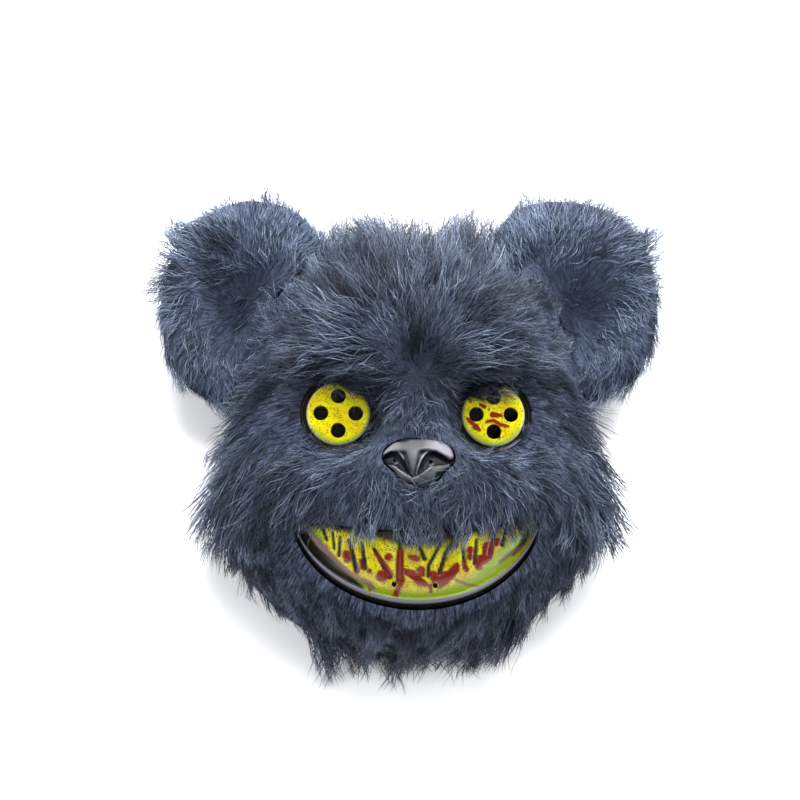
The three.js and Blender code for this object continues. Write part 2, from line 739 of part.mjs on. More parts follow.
const finishes = {
  shell: new THREE.MeshStandardMaterial({ color: 0x131417, roughness: 0.35, metalness: 0 }),
  fur: new THREE.MeshStandardMaterial({ color: 0x2b3140, roughness: 0.9, metalness: 0 }),
  eye: new THREE.MeshStandardMaterial({ color: 0xe8dc08, roughness: 0.25, metalness: 0 }),
  nose: new THREE.MeshStandardMaterial({ color: 0x17181b, roughness: 0.15, metalness: 0 }),
  mouth: new THREE.MeshStandardMaterial({ color: 0xd9c90e, roughness: 0.25, metalness: 0 }),
  strap: new THREE.MeshStandardMaterial({ color: 0x1b1b1e, roughness: 0.85, metalness: 0 }),
};

function piece(name, made, finish) {
  const mesh = new THREE.Mesh(geometryOf(made), finish);
  mesh.name = name;
  return mesh;
}

const mask = new THREE.Group();
const head = underFace(peltGap + peltThickness + seatGap);
const eye = buttonEye();
mask.add(piece("face_shell", faceShell(), finishes.shell));
mask.add(piece("fur_cover", furCover(), finishes.fur));
mask.add(piece("ear_left", ear(-1, head), finishes.fur));
mask.add(piece("ear_right", ear(1, head), finishes.fur));
for (const { side, x, y } of eyeCentres) {
  const mesh = piece(side < 0 ? "eye_left" : "eye_right", eye, finishes.eye);
  mesh.position.set(x, y, eyeSeatHeight + seatGap);
  mask.add(mesh);
}
mask.add(piece("nose", nose(), finishes.nose));
mask.add(piece("mouth_plate", mouthPlate(), finishes.mouth));
mask.add(piece("head_strap", headStrap(), finishes.strap));

// The origin is on the ground under the middle of the whole mask.
const bounds = new THREE.Box3().setFromObject(mask, true);
const middle = bounds.getCenter(new THREE.Vector3());
mask.position.set(-middle.x, -middle.y, -bounds.min.z);

const group = new THREE.Group();
group.add(mask);
export default group;
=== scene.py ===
"""The looks of a bear face mask that lies face up: long black fur over a moulded shell, cupped
ears, yellow button eyes, a gloss nose and a wide toothed mouth splashed with red."""

import logging
import math
from dataclasses import dataclass, field
from enum import Enum

import bpy
import numpy as np
from mathutils import Matrix, Vector


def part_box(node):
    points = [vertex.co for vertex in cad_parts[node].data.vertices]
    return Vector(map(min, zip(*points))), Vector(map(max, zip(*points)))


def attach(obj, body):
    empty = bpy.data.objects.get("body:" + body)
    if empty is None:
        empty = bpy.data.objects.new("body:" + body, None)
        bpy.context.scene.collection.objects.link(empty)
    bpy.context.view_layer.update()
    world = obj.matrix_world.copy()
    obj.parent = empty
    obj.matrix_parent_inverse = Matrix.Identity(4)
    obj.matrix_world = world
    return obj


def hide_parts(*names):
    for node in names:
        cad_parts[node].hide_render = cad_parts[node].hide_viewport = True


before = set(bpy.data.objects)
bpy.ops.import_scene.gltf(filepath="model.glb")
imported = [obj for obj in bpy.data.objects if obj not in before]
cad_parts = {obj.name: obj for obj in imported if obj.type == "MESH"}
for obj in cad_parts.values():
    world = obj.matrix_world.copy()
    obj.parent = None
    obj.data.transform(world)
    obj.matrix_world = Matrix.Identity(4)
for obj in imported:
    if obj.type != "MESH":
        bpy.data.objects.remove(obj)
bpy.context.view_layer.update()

MM = 0.001
Array = np.ndarray
Colour = tuple[float, float, float]
Faces = list[tuple[int, ...]]
Node = bpy.types.Node
Piece = bpy.types.Object
Socket = bpy.types.NodeSocket
Stroke = tuple[tuple[float, float, float], ...]
Strokes = tuple[Stroke, ...]
LOG = logging.getLogger("bear_mask")


class Side(Enum):
    """The two sides of the face, as a viewer sees them."""

    LEFT = -1
    RIGHT = 1


# Small numeric helpers


def ramp(values: Array, low: float, high: float) -> Array:
    """Eases from 0 at low to 1 at high."""
    t = np.clip((values - low) / (high - low), 0.0, 1.0)
    return t * t * (3.0 - 2.0 * t)


def unit(vectors: Array) -> Array:
    """Scales vectors along the last axis to length 1."""
    return vectors / np.maximum(np.linalg.norm(vectors, axis=-1, keepdims=True), 1e-9)


def curve_between(a: Array, b: Array, c: Array, d: Array, t: Array | float) -> Array:
    """Runs smoothly from b to c, with a before them and d after them.

    Args:
        a: the point before the stretch.
        b: the stretch's first point.
        c: the stretch's last point.
        d: the point after it.
        t: the share of the way from b to c.

    Returns:
        The point on the curve.
    """
    return b + 0.5 * t * (c - a + t * (2 * a - 5 * b + 4 * c - d + t * (3 * (b - c) + d - a)))


def round_table(shares: tuple[float, ...], mirrored: bool, angle: Array) -> Array:
    """Reads a table of evenly spaced angles smoothly.

    Args:
        shares: the values, from 0 degrees on.
        mirrored: whether the table stops at 180 degrees and is mirrored beyond.
        angle: the angles in degrees.

    Returns:
        The value at each angle.
    """
    values = np.array(shares)
    ring = np.concatenate([values, values[-2:0:-1]]) if mirrored else values
    at = angle / (360.0 / len(ring))
    first = np.floor(at).astype(int)
    return curve_between(*(ring[(first + k) % len(ring)] for k in (-1, 0, 1, 2)), at - first)


def stroke_distance(points: Array, stroke: Stroke) -> Array:
    """Measures how far points lie outside a brush stroke whose width varies.

    Args:
        points: places in the plane, one a row.
        stroke: the stroke's points, each with the brush's radius there.

    Returns:
        The distance, below 0 inside the stroke.
    """
    best = np.full(len(points), np.inf)
    path = stroke if len(stroke) > 1 else (stroke[0], stroke[0])
    for (ax, ay, ar), (bx, by, br) in zip(path, path[1:]):
        way = np.array([bx - ax, by - ay])
        from_a = points - np.array([ax, ay])
        t = np.clip(from_a @ way / max(float(way @ way), 1e-9), 0.0, 1.0)
        away = np.linalg.norm(from_a - t[:, None] * way, axis=1)
        best = np.minimum(best, away - (ar + (br - ar) * t))
    return best


def swell(values: Array, middle: float, width: float) -> Array:
    """Swells to 1 at the middle and fades on both sides of it."""
    return np.exp(-(((values - middle) / width) ** 2))


def painted(points: Array, strokes: Strokes, edge: float) -> Array:
    """Gives how much of a set of strokes covers each point.

    Args:
        points: places in the plane, one a row.
        strokes: the brush strokes.
        edge: the width over which a stroke's edge fades.

    Returns:
        The cover, from 0 to 1.
    """
    nearest = np.full(len(points), np.inf)
    for stroke in strokes:
        nearest = np.minimum(nearest, stroke_distance(points, stroke))
    return 1.0 - ramp(nearest, -edge, edge)


# The shape that everything lies on


@dataclass(frozen=True)
class Form:
    """A swelling or a dent of the face, in shares of the half width, half height and depth."""

    across: float
    up: float
    wide: float
    high: float
    flat: float
    rise: float


@dataclass(frozen=True)
class FaceForm:
    """The shell's outer face, in millimetres round the middle of the face, as the solids have it."""

    half_width: float = 92.0
    half_height: float = 105.0
    depth: float = 74.0
    roundness: float = 2.4
    eye_spacing: float = 77.0
    eye_up: float = 10.7
    eye_seat: float = 60.0
    eye_rim: float = 18.6
    rim: tuple[float, ...] = (1.05, 1.11, 1.08, 1.0, 0.99, 1.095, 1.05, 1.01, 0.965)
    forms: tuple[Form, ...] = (
        Form(0, 0.62, 0.62, 0.32, 1, 0.1),
        Form(0.4, 0.43, 0.36, 0.16, 1, 0.12),
        Form(0, 0.4, 0.08, 0.2, 1, -0.08),
        Form(0.43, 0.1, 0.25, 0.17, 1, -0.1),
        Form(0, 0.06, 0.17, 0.2, 1, 0.06),
        Form(0, -0.38, 0.57, 0.42, 1.4, 0.3),
        Form(0.7, -0.3, 0.09, 0.2, 1, -0.06),
        Form(0.86, -0.32, 0.22, 0.3, 1, 0.12),
        Form(0, -0.82, 0.46, 0.2, 1, 0.18),
    )

    def reach(self, angle: Array) -> Array:
        """Gives the rim's reach at angles in degrees from the forehead."""
        return round_table(self.rim, True, angle)

    def out_share(self, x: Array, y: Array) -> Array:
        """Gives how far out to the rim places lie, 0 in the middle and 1 at the rim."""
        across, up = x / self.half_width, y / self.half_height
        angle = np.degrees(np.abs(np.arctan2(across, up)))
        return np.hypot(across, up) / self.reach(angle)

    def height(self, x: Array, y: Array) -> Array:
        """Gives the height of the face above the rim's plane."""
        out = np.minimum(self.out_share(x, y), 1.0)
        dome = (1.0 - out**self.roundness) ** (1.0 / self.roundness)
        rise = np.zeros_like(dome)
        for f in self.forms:
            for side in (-1, 1) if f.across else (1,):
                dx = (x / self.half_width - side * f.across) / f.wide
                dy = (y / self.half_height - f.up) / f.high
                rise = rise + f.rise * np.exp(-((dx * dx + dy * dy) ** f.flat))
        height = self.depth * (dome + rise * (1.0 - out**8))
        away = np.hypot(np.abs(x) - self.eye_spacing / 2, y - self.eye_up)
        seat = 1.0 - ramp(away, self.eye_rim + 3, self.eye_rim + 15)
        return height + (self.eye_seat - height) * seat

    def normal(self, x: Array, y: Array) -> Array:
        """Gives the outward normal of the face at places on it."""
        step = 0.4
        dx = (self.height(x + step, y) - self.height(x - step, y)) / (2 * step)
        dy = (self.height(x, y + step) - self.height(x, y - step)) / (2 * step)
        steep = np.clip(np.hypot(dx, dy), 1e-9, None)
        limit = np.minimum(1.0, 6.0 / steep)
        return unit(np.stack([-dx * limit, -dy * limit, np.ones_like(dx)], axis=-1))

    def skin(self, turns: int, rows: int, offset: float, out_to: float = 1.0) -> tuple[Array, Array]:
        """Lays a polar net of points over the face.

        Args:
            turns: columns round the face.
            rows: rings from the middle to the rim.
            offset: how far above the shell's face the net lies, in millimetres.
            out_to: the last ring's share of the way out.

        Returns:
            The points, and the normals of the face under them.
        """
        ring = 1.0 - (1.0 - np.arange(1, rows + 1) / rows) ** 1.6
        turn = np.arange(turns) * (2 * math.pi / turns)
        out = out_to * ring[:, None] * self.reach(np.degrees(turn))[None, :]
        x = (self.half_width * out * np.sin(turn)).ravel()
        y = (self.half_height * out * np.cos(turn)).ravel()
        x, y = np.append(0.0, x), np.append(0.0, y)
        z = self.height(x, y)
        z[-turns:] = np.where(out_to >= 1.0, 0.0, z[-turns:])
        normals = self.normal(x, y)
        if out_to >= 1.0:
            away = np.stack([x[-turns:], y[-turns:], 0 * x[-turns:]], axis=-1)
            away[:, 0] /= self.half_width**2
            away[:, 1] /= self.half_height**2
            normals[-turns:] = unit(away)
        return np.stack([x, y, z], axis=-1) + offset * normals, normals


def net_faces(turns: int, rows: int, flip: bool = False, start: int = 0) -> Faces:
    """Lists the faces of a polar net whose first point is its middle.

    Args:
        turns: columns round the net.
        rows: rings.
        flip: whether the faces look the other way.
        start: the index of the net's first point.

    Returns:
        The faces as tuples of point indices, looking along +Z unless flipped.
    """
    faces: Faces = []
    for c in range(turns):
        n = (c + 1) % turns
        faces.append((start, start + 1 + n, start + 1 + c))
        for r in range(rows - 1):
            a = start + 1 + r * turns
            faces.append((a + c, a + n, a + turns + n, a + turns + c))
    return [tuple(reversed(f)) for f in faces] if flip else faces


def two_nets(turns: int, rows: int, back_rows: int) -> Faces:
    """Lists the faces of a polar net, of one that looks back, and of the band between their rims.

    Args:
        turns: columns round both nets.
        rows: rings of the first net.
        back_rows: rings of the second, whose points follow those of the first.

    Returns:
        The faces of the closed body.
    """
    start = 1 + rows * turns
    rim, back = start - turns, start + 1 + (back_rows - 1) * turns
    pairs = [(c, (c + 1) % turns) for c in range(turns)]
    band = [(rim + c, rim + n, back + n, back + c) for c, n in pairs]
    return net_faces(turns, rows) + net_faces(turns, back_rows, True, start) + band


def closed_net(turns: int, rows: int, flip: bool = False) -> Faces:
    """Lists the faces of a polar net that closes in one more point behind its last ring."""
    last, tip = 1 + (rows - 1) * turns, 1 + rows * turns
    cap = [(last + c, last + (c + 1) % turns, tip) for c in range(turns)]
    return net_faces(turns, rows, flip) + ([tuple(reversed(f)) for f in cap] if flip else cap)


@dataclass(frozen=True)
class BrowEdge:
    """The hanging edge of the brow's fur over each eye.

    Each line has its way away from the eye's middle, and its distance from it.
    """

    left: tuple[tuple[float, float, float], ...] = ((0.42, 0.91, 12.2),)
    right: tuple[tuple[float, float, float], ...] = ((-0.18, 0.98, 9.4), (-0.64, 0.77, 6.6))

    def over(self, dx: Array, dy: Array, right: Array) -> Array:
        """Gives how far places are under the hanging fur, in millimetres.

        Args:
            dx: how far right of the eye's middle they are.
            dy: how far above it.
            right: whether they belong to the right eye.

        Returns:
            The distance from the edge, below 0 outside.
        """
        under = [
            np.min([a * dx + b * dy - distance for a, b, distance in lines], axis=0)
            for lines in (self.left, self.right)
        ]
        return np.where(right, under[1], under[0])


# Making objects


@dataclass
class Workshop:
    """Turns millimetres round the middle of the face into objects of the part's own frame."""

    form: FaceForm
    shift: Array = field(default_factory=lambda: np.zeros(3))

    def __post_init__(self) -> None:
        """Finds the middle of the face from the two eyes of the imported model."""
        low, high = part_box("eye_left")[0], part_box("eye_right")[1]
        middle = [(low[k] + high[k]) / (2 * MM) for k in (0, 1)]
        self.shift = np.array([middle[0], middle[1] - self.form.eye_up, 0.0])

    def place(self, points: Array) -> Array:
        """Moves points into the part's frame, in metres."""
        return (np.asarray(points, dtype=float) + self.shift) * MM

    def mesh(self, name: str, points: Array, faces: Faces, smooth: bool = True) -> Piece:
        """Makes an object whose place is in its mesh.

        Args:
            name: the object's name.
            points: millimetres round the middle of the face.
            faces: tuples of point indices.
            smooth: whether the faces are shaded smooth.

        Returns:
            The new object, linked to the scene.
        """
        mesh = bpy.data.meshes.new(name)
        mesh.from_pydata(self.place(points).tolist(), [], faces, shade_flat=not smooth)
        mesh.validate()
        made = bpy.data.objects.new(name, mesh)
        bpy.context.scene.collection.objects.link(made)
        return made

    def wall(self, name: str, turns: int, rows: int, outer: float, inner: float) -> Piece:
        """Makes a closed wall of the face between two offsets from the shell's outer face."""
        top, _ = self.form.skin(turns, rows, outer)
        under, _ = self.form.skin(turns, rows, inner)
        return self.mesh(name, np.concatenate([top, under]), two_nets(turns, rows, rows))

    def prism(self, outline: Array, low: float, high: float) -> Piece:
        """Makes an upright cutter from an outline given clockwise, between two heights."""
        n = len(outline)
        points = [(x, y, z) for z in (low, high) for x, y in outline]
        faces: Faces = [(k, n + k, n + (k + 1) % n, (k + 1) % n) for k in range(n)]
        faces.append(tuple(range(n)))
        faces.append(tuple(reversed(range(n, 2 * n))))
        return self.mesh("cutter", np.array(points), faces, smooth=False)

    def disc(self, x: float, y: float, radius: float, low: float, high: float) -> Piece:
        """Makes an upright round cutter."""
        turn = np.arange(72) * (2 * math.pi / 72)
        outline = np.stack([x + radius * np.sin(turn), y + radius * np.cos(turn)], axis=-1)
        return self.prism(outline, low, high)

    def eye_discs(self, radius: float, low: float, high: float) -> list[Piece]:
        """Makes a round cutter at each eye, between two heights."""
        half, up = self.form.eye_spacing / 2, self.form.eye_up
        return [self.disc(side.value * half, up, radius, low, high) for side in Side]

    def cut(self, made: Piece, cutters: list[Piece]) -> None:
        """Cuts what lies inside the cutters away from an object, and deletes the cutters."""
        for cutter in cutters:
            modifier = made.modifiers.new("cut", "BOOLEAN")
            modifier.operation = "DIFFERENCE"
            modifier.solver = "EXACT"
            modifier.object = cutter
            self.bake_down(made)
            bpy.data.objects.remove(cutter)

    def bake_down(self, made: Piece) -> None:
        """Applies an object's modifiers to its mesh."""
        graph = bpy.context.evaluated_depsgraph_get()
        plain = bpy.data.meshes.new_from_object(made.evaluated_get(graph), depsgraph=graph)
        old = made.data
        made.modifiers.clear()
        made.data = plain
        plain.name = made.name
        bpy.data.meshes.remove(old)


def write_floats(made: Piece, **layers: Array) -> None:
    """Stores named numbers for each point of an object's mesh."""
    for name, values in layers.items():
        layer = made.data.attributes.new(name, "FLOAT", "POINT")
        layer.data.foreach_set("value", values.astype(np.float32))


def write_vectors(made: Piece, name: str, values: Array) -> None:
    """Stores one vector for each point of an object's mesh."""
    layer = made.data.attributes.new(name, "FLOAT_VECTOR", "POINT")
    layer.data.foreach_set("vector", values.astype(np.float32).ravel())


def write_grain(made: Piece, middle: Array) -> None:
    """Stores vectors whose noise runs out from a middle in long hairs, for the short pile."""
    flat = (points_of(made) - middle)[:, :2]
    write_vectors(made, "grain", np.column_stack([unit(flat), np.linalg.norm(flat, axis=1) * 1.4]))


def points_of(made: Piece, what: str = "co") -> Array:
    """Reads the places of an object's points, in metres, or their normals."""
    flat = np.empty(3 * len(made.data.vertices), dtype=np.float32)
    made.data.vertices.foreach_get(what, flat)
    return flat.reshape(-1, 3).astype(float)


def settle(made: Piece, slot: str, *nodes: str) -> None:
    """Rides a finished piece on the part, hides the solids that it stands for and logs its triangles.

    Args:
        made: the piece.
        slot: not used.
        nodes: the solids that the piece stands for.
    """
    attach(made, "root")
    if nodes:
        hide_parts(*nodes)
    made.data.calc_loop_triangles()
    LOG.info("%s: %d triangles", made.name, len(made.data.loop_triangles))


# Building materials


@dataclass
class NodeSheet:
    """A node tree under construction."""

    tree: bpy.types.NodeTree

    def node(self, kind: str, **settings: object) -> Node:
        """Adds a node and sets its properties."""
        made = self.tree.nodes.new(kind)
        for key, value in settings.items():
            setattr(made, key, value)
        return made

    def feed(self, target: Socket, value: object) -> None:
        """Sets a socket to a value, or links another socket to it."""
        if isinstance(value, Socket):
            self.tree.links.new(value, target)
        elif value is not None:
            target.default_value = value

    def give(self, node: Node, **values: object) -> Node:
        """Links or sets a node's enabled inputs, with underscores for the spaces in their names."""
        for key, value in values.items():
            name = key.replace("_", " ")
            self.feed(next(s for s in node.inputs if s.name == name and s.enabled), value)
        return node


class Recipe(NodeSheet):
    """A material under construction: a Principled shader and the nodes that feed it."""

    def __init__(self, name: str) -> None:
        """Starts a material with one Principled shader."""
        self.material = bpy.data.materials.new(name)
        self.material.use_nodes = True
        super().__init__(self.material.node_tree)
        self.shader = self.tree.nodes["Principled BSDF"]

    def set(self, **values: object) -> None:
        """Sets the shader's own sockets."""
        self.give(self.shader, **values)

    def value(self, name: str) -> Socket:
        """Reads one of the piece's own numbers."""
        return self.node("ShaderNodeAttribute", attribute_name=name).outputs["Fac"]

    def place(self) -> Socket:
        """Reads the place on the object."""
        return self.node("ShaderNodeTexCoord").outputs["Object"]

    def noise(self, scale: float, detail: float = 3.0, grain: str = "") -> Socket:
        """Adds a noise over the object.

        Args:
            scale: how many blotches there are in a metre.
            detail: how fine the finest layer is.
            grain: the piece's own vectors that the noise follows in place of the object's space.

        Returns:
            The noise's value socket.
        """
        own = self.node("ShaderNodeAttribute", attribute_name=grain) if grain else None
        place = own.outputs["Vector"] if own else self.place()
        made = self.give(self.node("ShaderNodeTexNoise"), Vector=place, Scale=scale, Detail=detail)
        return self.give(made, Distortion=1.5 if grain else 0.0).outputs["Fac"]

    def math(self, operation: str, a: object, b: object = 0.0) -> Socket:
        """Adds an arithmetic node that stays between 0 and 1."""
        made = self.node("ShaderNodeMath", operation=operation, use_clamp=True)
        self.feed(made.inputs[0], a)
        self.feed(made.inputs[1], b)
        return made.outputs[0]

    def steps(self, value: object, *stops: tuple[float, Colour]) -> Socket:
        """Turns a value into a colour through a list of stops."""
        made = self.node("ShaderNodeValToRGB")
        self.feed(made.inputs[0], value)
        row = made.color_ramp.elements
        while len(row) < len(stops):
            row.new(0.5)
        for element, (at, colour) in zip(row, stops):
            element.position = at
            element.color = (*colour, 1.0)
        return made.outputs[0]

    def mix(self, share: object, a: object, b: object) -> Socket:
        """Mixes two colours."""
        made = self.node("ShaderNodeMix", data_type="RGBA")
        inputs = [s for s in made.inputs if s.enabled]
        for socket, value in zip(inputs, (share, a, b)):
            fits = value if isinstance(value, (Socket, float, int)) else (*value, 1.0)
            self.feed(socket, fits)
        return next(s for s in made.outputs if s.enabled)

    def between(self, share: object, low: float, high: float) -> Socket:
        """Maps a share from 0 to 1 onto a range of numbers."""
        made = self.node("ShaderNodeMapRange")
        return self.give(made, Value=share, To_Min=low, To_Max=high).outputs[0]

    def bump(self, height: Socket, depth: float) -> None:
        """Raises the surface by a height pattern whose full depth is given in metres."""
        made = self.give(self.node("ShaderNodeBump"), Strength=1.0, Distance=depth, Height=height)
        self.set(Normal=made.outputs["Normal"])


@dataclass(frozen=True)
class FurFinish:
    """Black artificial fur, darker at the roots, with a cold grey sheen painted into its lighter blue-grey
    tips.
    """

    root: Colour = (0.003, 0.004, 0.009)
    middle: Colour = (0.079, 0.107, 0.176)
    tip: Colour = (0.32, 0.405, 0.57)
    dark_share: float = 0.08
    roughness: float = 0.4

    def pile(self) -> bpy.types.Material:
        """Makes the strands' material, which reads each strand's own map."""
        r = Recipe("fur_pile")
        split = r.node("ShaderNodeSeparateXYZ")
        r.feed(split.inputs[0], r.node("ShaderNodeUVMap", uv_map="OFBake").outputs[0])
        along = r.steps(split.outputs["Y"], (0.0, self.root), (0.3, self.middle), (0.85, self.tip))
        dark = tuple(self.dark_share * c for c in self.middle)
        colour = r.mix(r.math("POWER", split.outputs["X"], 0.85), along, dark)
        hair = r.steps(r.noise(1000.0, 2.0), (0.38, (0.6, 0.6, 0.6)), (0.56, (0.0, 0.0, 0.0)))
        r.set(Base_Color=r.mix(hair, colour, dark))
        r.set(Roughness=self.roughness, Specular_IOR_Level=0.26, Specular_Tint=(0.75, 0.85, 1.0, 1.0))
        r.set(Sheen_Weight=0.03, Sheen_Roughness=0.5)
        return r.material

    def backing(self, name: str, light: float) -> bpy.types.Material:
        """Makes the material of the dense short pile near the backing, which reads its grain.

        Args:
            name: the material's name.
            light: how light the pile is against the strands' middle.

        Returns:
            The material.
        """
        r = Recipe(name)
        hairs = r.noise(90.0, 4.0, "grain")
        pile = tuple(light * c for c in self.middle)
        lit = tuple(0.7 * a + 0.3 * light * b for a, b in zip(pile, self.tip))
        stops = ((0.38, self.root), (0.54, pile), (0.7, lit))
        patchy = r.math("MULTIPLY", r.noise(300.0, 4.0), 0.8)
        r.set(Base_Color=r.mix(patchy, r.steps(hairs, *stops), self.root))
        r.set(Roughness=0.8, Specular_IOR_Level=0.15)
        r.bump(hairs, 0.003)
        return r.material


@dataclass(frozen=True)
class ShellPlastic:
    """Thin black plastic, drawn over a mould."""

    colour: Colour = (0.008, 0.008, 0.01)

    def make(self) -> bpy.types.Material:
        """Makes the material."""
        r = Recipe("shell_plastic")
        grain = r.noise(220.0, 4.0)
        lighter = tuple(2.2 * c for c in self.colour)
        r.set(Base_Color=r.steps(grain, (0.35, self.colour), (0.7, lighter)))
        r.set(Roughness=r.between(grain, 0.38, 0.55))
        r.bump(r.noise(1400.0, 2.0), 0.00012)
        return r.material


@dataclass(frozen=True)
class GlossBlack:
    """Black gloss paint on a moulded piece, with light and shade painted in: grey highlight on what stands
    up and deeper black in the hollows.
    """

    deep: Colour = (0.002, 0.003, 0.008)
    colour: Colour = (0.014, 0.015, 0.018)
    highlight_grey: Colour = (0.1, 0.105, 0.11)
    pale: Colour = (0.2, 0.19, 0.225)

    def make(self) -> bpy.types.Material:
        """Makes the material."""
        r = Recipe("nose_gloss")
        tone = r.value("tone")
        # Painted light and shade: deep black in the arcs and nostrils, grey and pale highlight on what
        # stands up.
        highlight_and_shade = r.steps(tone, (0.0, self.deep), (0.3, self.colour), (0.55, self.highlight_grey), (1.0, self.pale))
        r.set(Base_Color=r.mix(r.math("MULTIPLY", r.noise(900.0), 0.3), highlight_and_shade, self.colour))
        r.set(Roughness=r.between(r.math("MULTIPLY", tone, 3.0), 0.72, 0.36), Specular_IOR_Level=0.1)
        r.bump(r.noise(420.0, 2.0), 0.00008)
        return r.material


@dataclass(frozen=True)
class PaintedGlow:
    """Bright yellow gloss paint with dark specks, greenish paint and red splashes; some of its layers paint
    highlights, reflections and shadows.
    """

    yellow: Colour = (0.52, 0.475, 0.0)
    orange: Colour = (0.4, 0.26, 0.0)
    # green: greenish paint on the mouth, and a painted reflection on the eyes' lower edges
    green: Colour = (0.17, 0.27, 0.012)
    # pale: a painted highlight on the eyes' rounded edges
    pale: Colour = (0.55, 0.66, 0.42)
    # dark: specks and dark paint, and the painted shadow of the fur on the eyes and the teeth
    dark: Colour = (0.006, 0.007, 0.006)
    red: Colour = (0.15, 0.01, 0.004)
    smear: Colour = (0.125, 0.042, 0.05)
    # clear: lilac grey, on the lip's upper flank partly its clear plastic and partly a painted highlight,
    # and on the right eye's flange arc a painted highlight
    clear: Colour = (0.13, 0.12, 0.17)
    lip: Colour = (0.008, 0.009, 0.01)
    speck_scale: float = 1150.0

    def make(self, name: str, specks: float) -> bpy.types.Material:
        """Makes the material from the piece's own paint numbers.

        Args:
            name: the material's name.
            specks: how dense the dark specks are.

        Returns:
            The material.
        """
        r = Recipe(name)
        tone = r.steps(r.noise(95.0, 2.0), (0.4, self.yellow), (0.8, self.orange))
        fine = r.give(r.node("ShaderNodeTexVoronoi"), Vector=r.place(), Scale=self.speck_scale)
        speck = r.math("LESS_THAN", fine.outputs["Distance"], specks)
        speck = r.math("MULTIPLY", speck, r.math("GREATER_THAN", r.noise(380.0), 0.47))
        colour = r.mix(r.math("MULTIPLY", speck, 0.85), tone, self.dark)
        for layer, paint in (
            ("green", self.green),
            ("pale", self.pale),
            ("shade", self.dark),
            ("smear", self.smear),
            ("red", self.red),
            ("edge", self.clear),
            ("lip", self.lip),
        ):
            colour = r.mix(r.value(layer), colour, paint)
        r.set(Base_Color=colour, Roughness=r.between(r.value("red"), 0.22, 0.1))
        r.set(Specular_IOR_Level=0.16, Coat_Weight=0.18, Coat_Roughness=0.05)
        r.bump(r.math("ADD", r.noise(300.0, 3.0), r.value("red")), 0.0003)
        return r.material


@dataclass(frozen=True)
class WovenElastic:
    """Black woven elastic."""

    gap: Colour = (0.005, 0.005, 0.006)
    thread: Colour = (0.03, 0.03, 0.033)
    threads: float = 60.0

    def make(self) -> bpy.types.Material:
        """Makes the material from the strap's own map."""
        r = Recipe("woven_elastic")
        wave = r.node("ShaderNodeTexWave", wave_type="BANDS", bands_direction="X")
        along = r.node("ShaderNodeUVMap", uv_map="OFBake").outputs[0]
        r.give(wave, Vector=along, Scale=self.threads)
        r.set(Base_Color=r.steps(wave.outputs["Fac"], (0.2, self.gap), (0.8, self.thread)))
        r.set(Roughness=0.8, Sheen_Weight=0.3)
        r.bump(wave.outputs["Fac"], 0.0003)
        return r.material


# The fur's strands


class Growth(NodeSheet):
    """A Geometry Nodes tree under construction, with its named inputs."""

    def __init__(self, name: str, inputs: tuple[tuple[str, str, object], ...]) -> None:
        """Starts a tree for a modifier.

        Args:
            name: the tree's name.
            inputs: the name, the kind of socket and the usual value of each input.
        """
        super().__init__(bpy.data.node_groups.new(name, "GeometryNodeTree"))
        self.tree.is_modifier = True
        self.identifiers: dict[str, str] = {}
        for label, kind, value in inputs:
            socket = self.tree.interface.new_socket(name=label, in_out="INPUT", socket_type=kind)
            if value is not None:
                socket.default_value = value
            self.identifiers[label] = socket.identifier
        self.tree.interface.new_socket(name="Pile", in_out="OUTPUT", socket_type="NodeSocketGeometry")
        self.given = self.node("NodeGroupInput").outputs

    def out(self, node: Node, name: str | None = None) -> Socket:
        """Finds the enabled output of that name, or the first."""
        return next(s for s in node.outputs if s.enabled and name in (None, s.name))

    def read(self, name: str, kind: str = "FLOAT") -> Socket:
        """Reads a named number or vector of the geometry."""
        made = self.node("GeometryNodeInputNamedAttribute", data_type=kind)
        return self.out(self.give(made, Name=name), "Attribute")

    def store(
        self, geometry: Socket, name: str, value: Socket, kind: str, domain: str
    ) -> Socket:
        """Stores a named number or vector on the geometry and gives the geometry on."""
        made = self.node("GeometryNodeStoreNamedAttribute", data_type=kind, domain=domain)
        return self.out(self.give(made, Geometry=geometry, Name=name, Value=value))

    def scalar(self, operation: str, a: object, b: object = 0.0) -> Socket:
        """Adds an arithmetic node."""
        made = self.node("ShaderNodeMath", operation=operation)
        for socket, value in zip(made.inputs, (a, b)):
            self.feed(socket, value)
        return made.outputs[0]

    def times(self, a: object, b: object) -> Socket:
        """Multiplies two numbers."""
        return self.scalar("MULTIPLY", a, b)

    def plus(self, a: object, b: object) -> Socket:
        """Adds two numbers."""
        return self.scalar("ADD", a, b)

    def vector(self, operation: str, a: object, b: object = None) -> Socket:
        """Adds a vector node; SCALE takes a number as its second value."""
        made = self.node("ShaderNodeVectorMath", operation=operation)
        self.feed(made.inputs[0], a)
        self.feed(made.inputs[3] if operation == "SCALE" else made.inputs[1], b)
        return made.outputs[0]

    def chance(self, span: tuple[float, float], offset: int) -> Socket:
        """Gives each strand a random number; the offset tells one draw from another."""
        seed = self.plus(self.given["Seed"], float(offset))
        made = self.node("FunctionNodeRandomValue", data_type="FLOAT")
        return self.out(self.give(made, Min=span[0], Max=span[1], Seed=seed), "Value")

    def drift(self, place: Socket, scale: float, detail: float) -> Socket:
        """Gives a smooth random vector, each part from about -1 to 1."""
        made = self.node("ShaderNodeTexNoise", noise_dimensions="3D")
        self.give(made, Vector=place, Scale=scale, Detail=detail)
        middle = self.vector("SUBTRACT", self.out(made, "Color"), (0.5, 0.5, 0.5))
        return self.vector("SCALE", middle, 2.6)


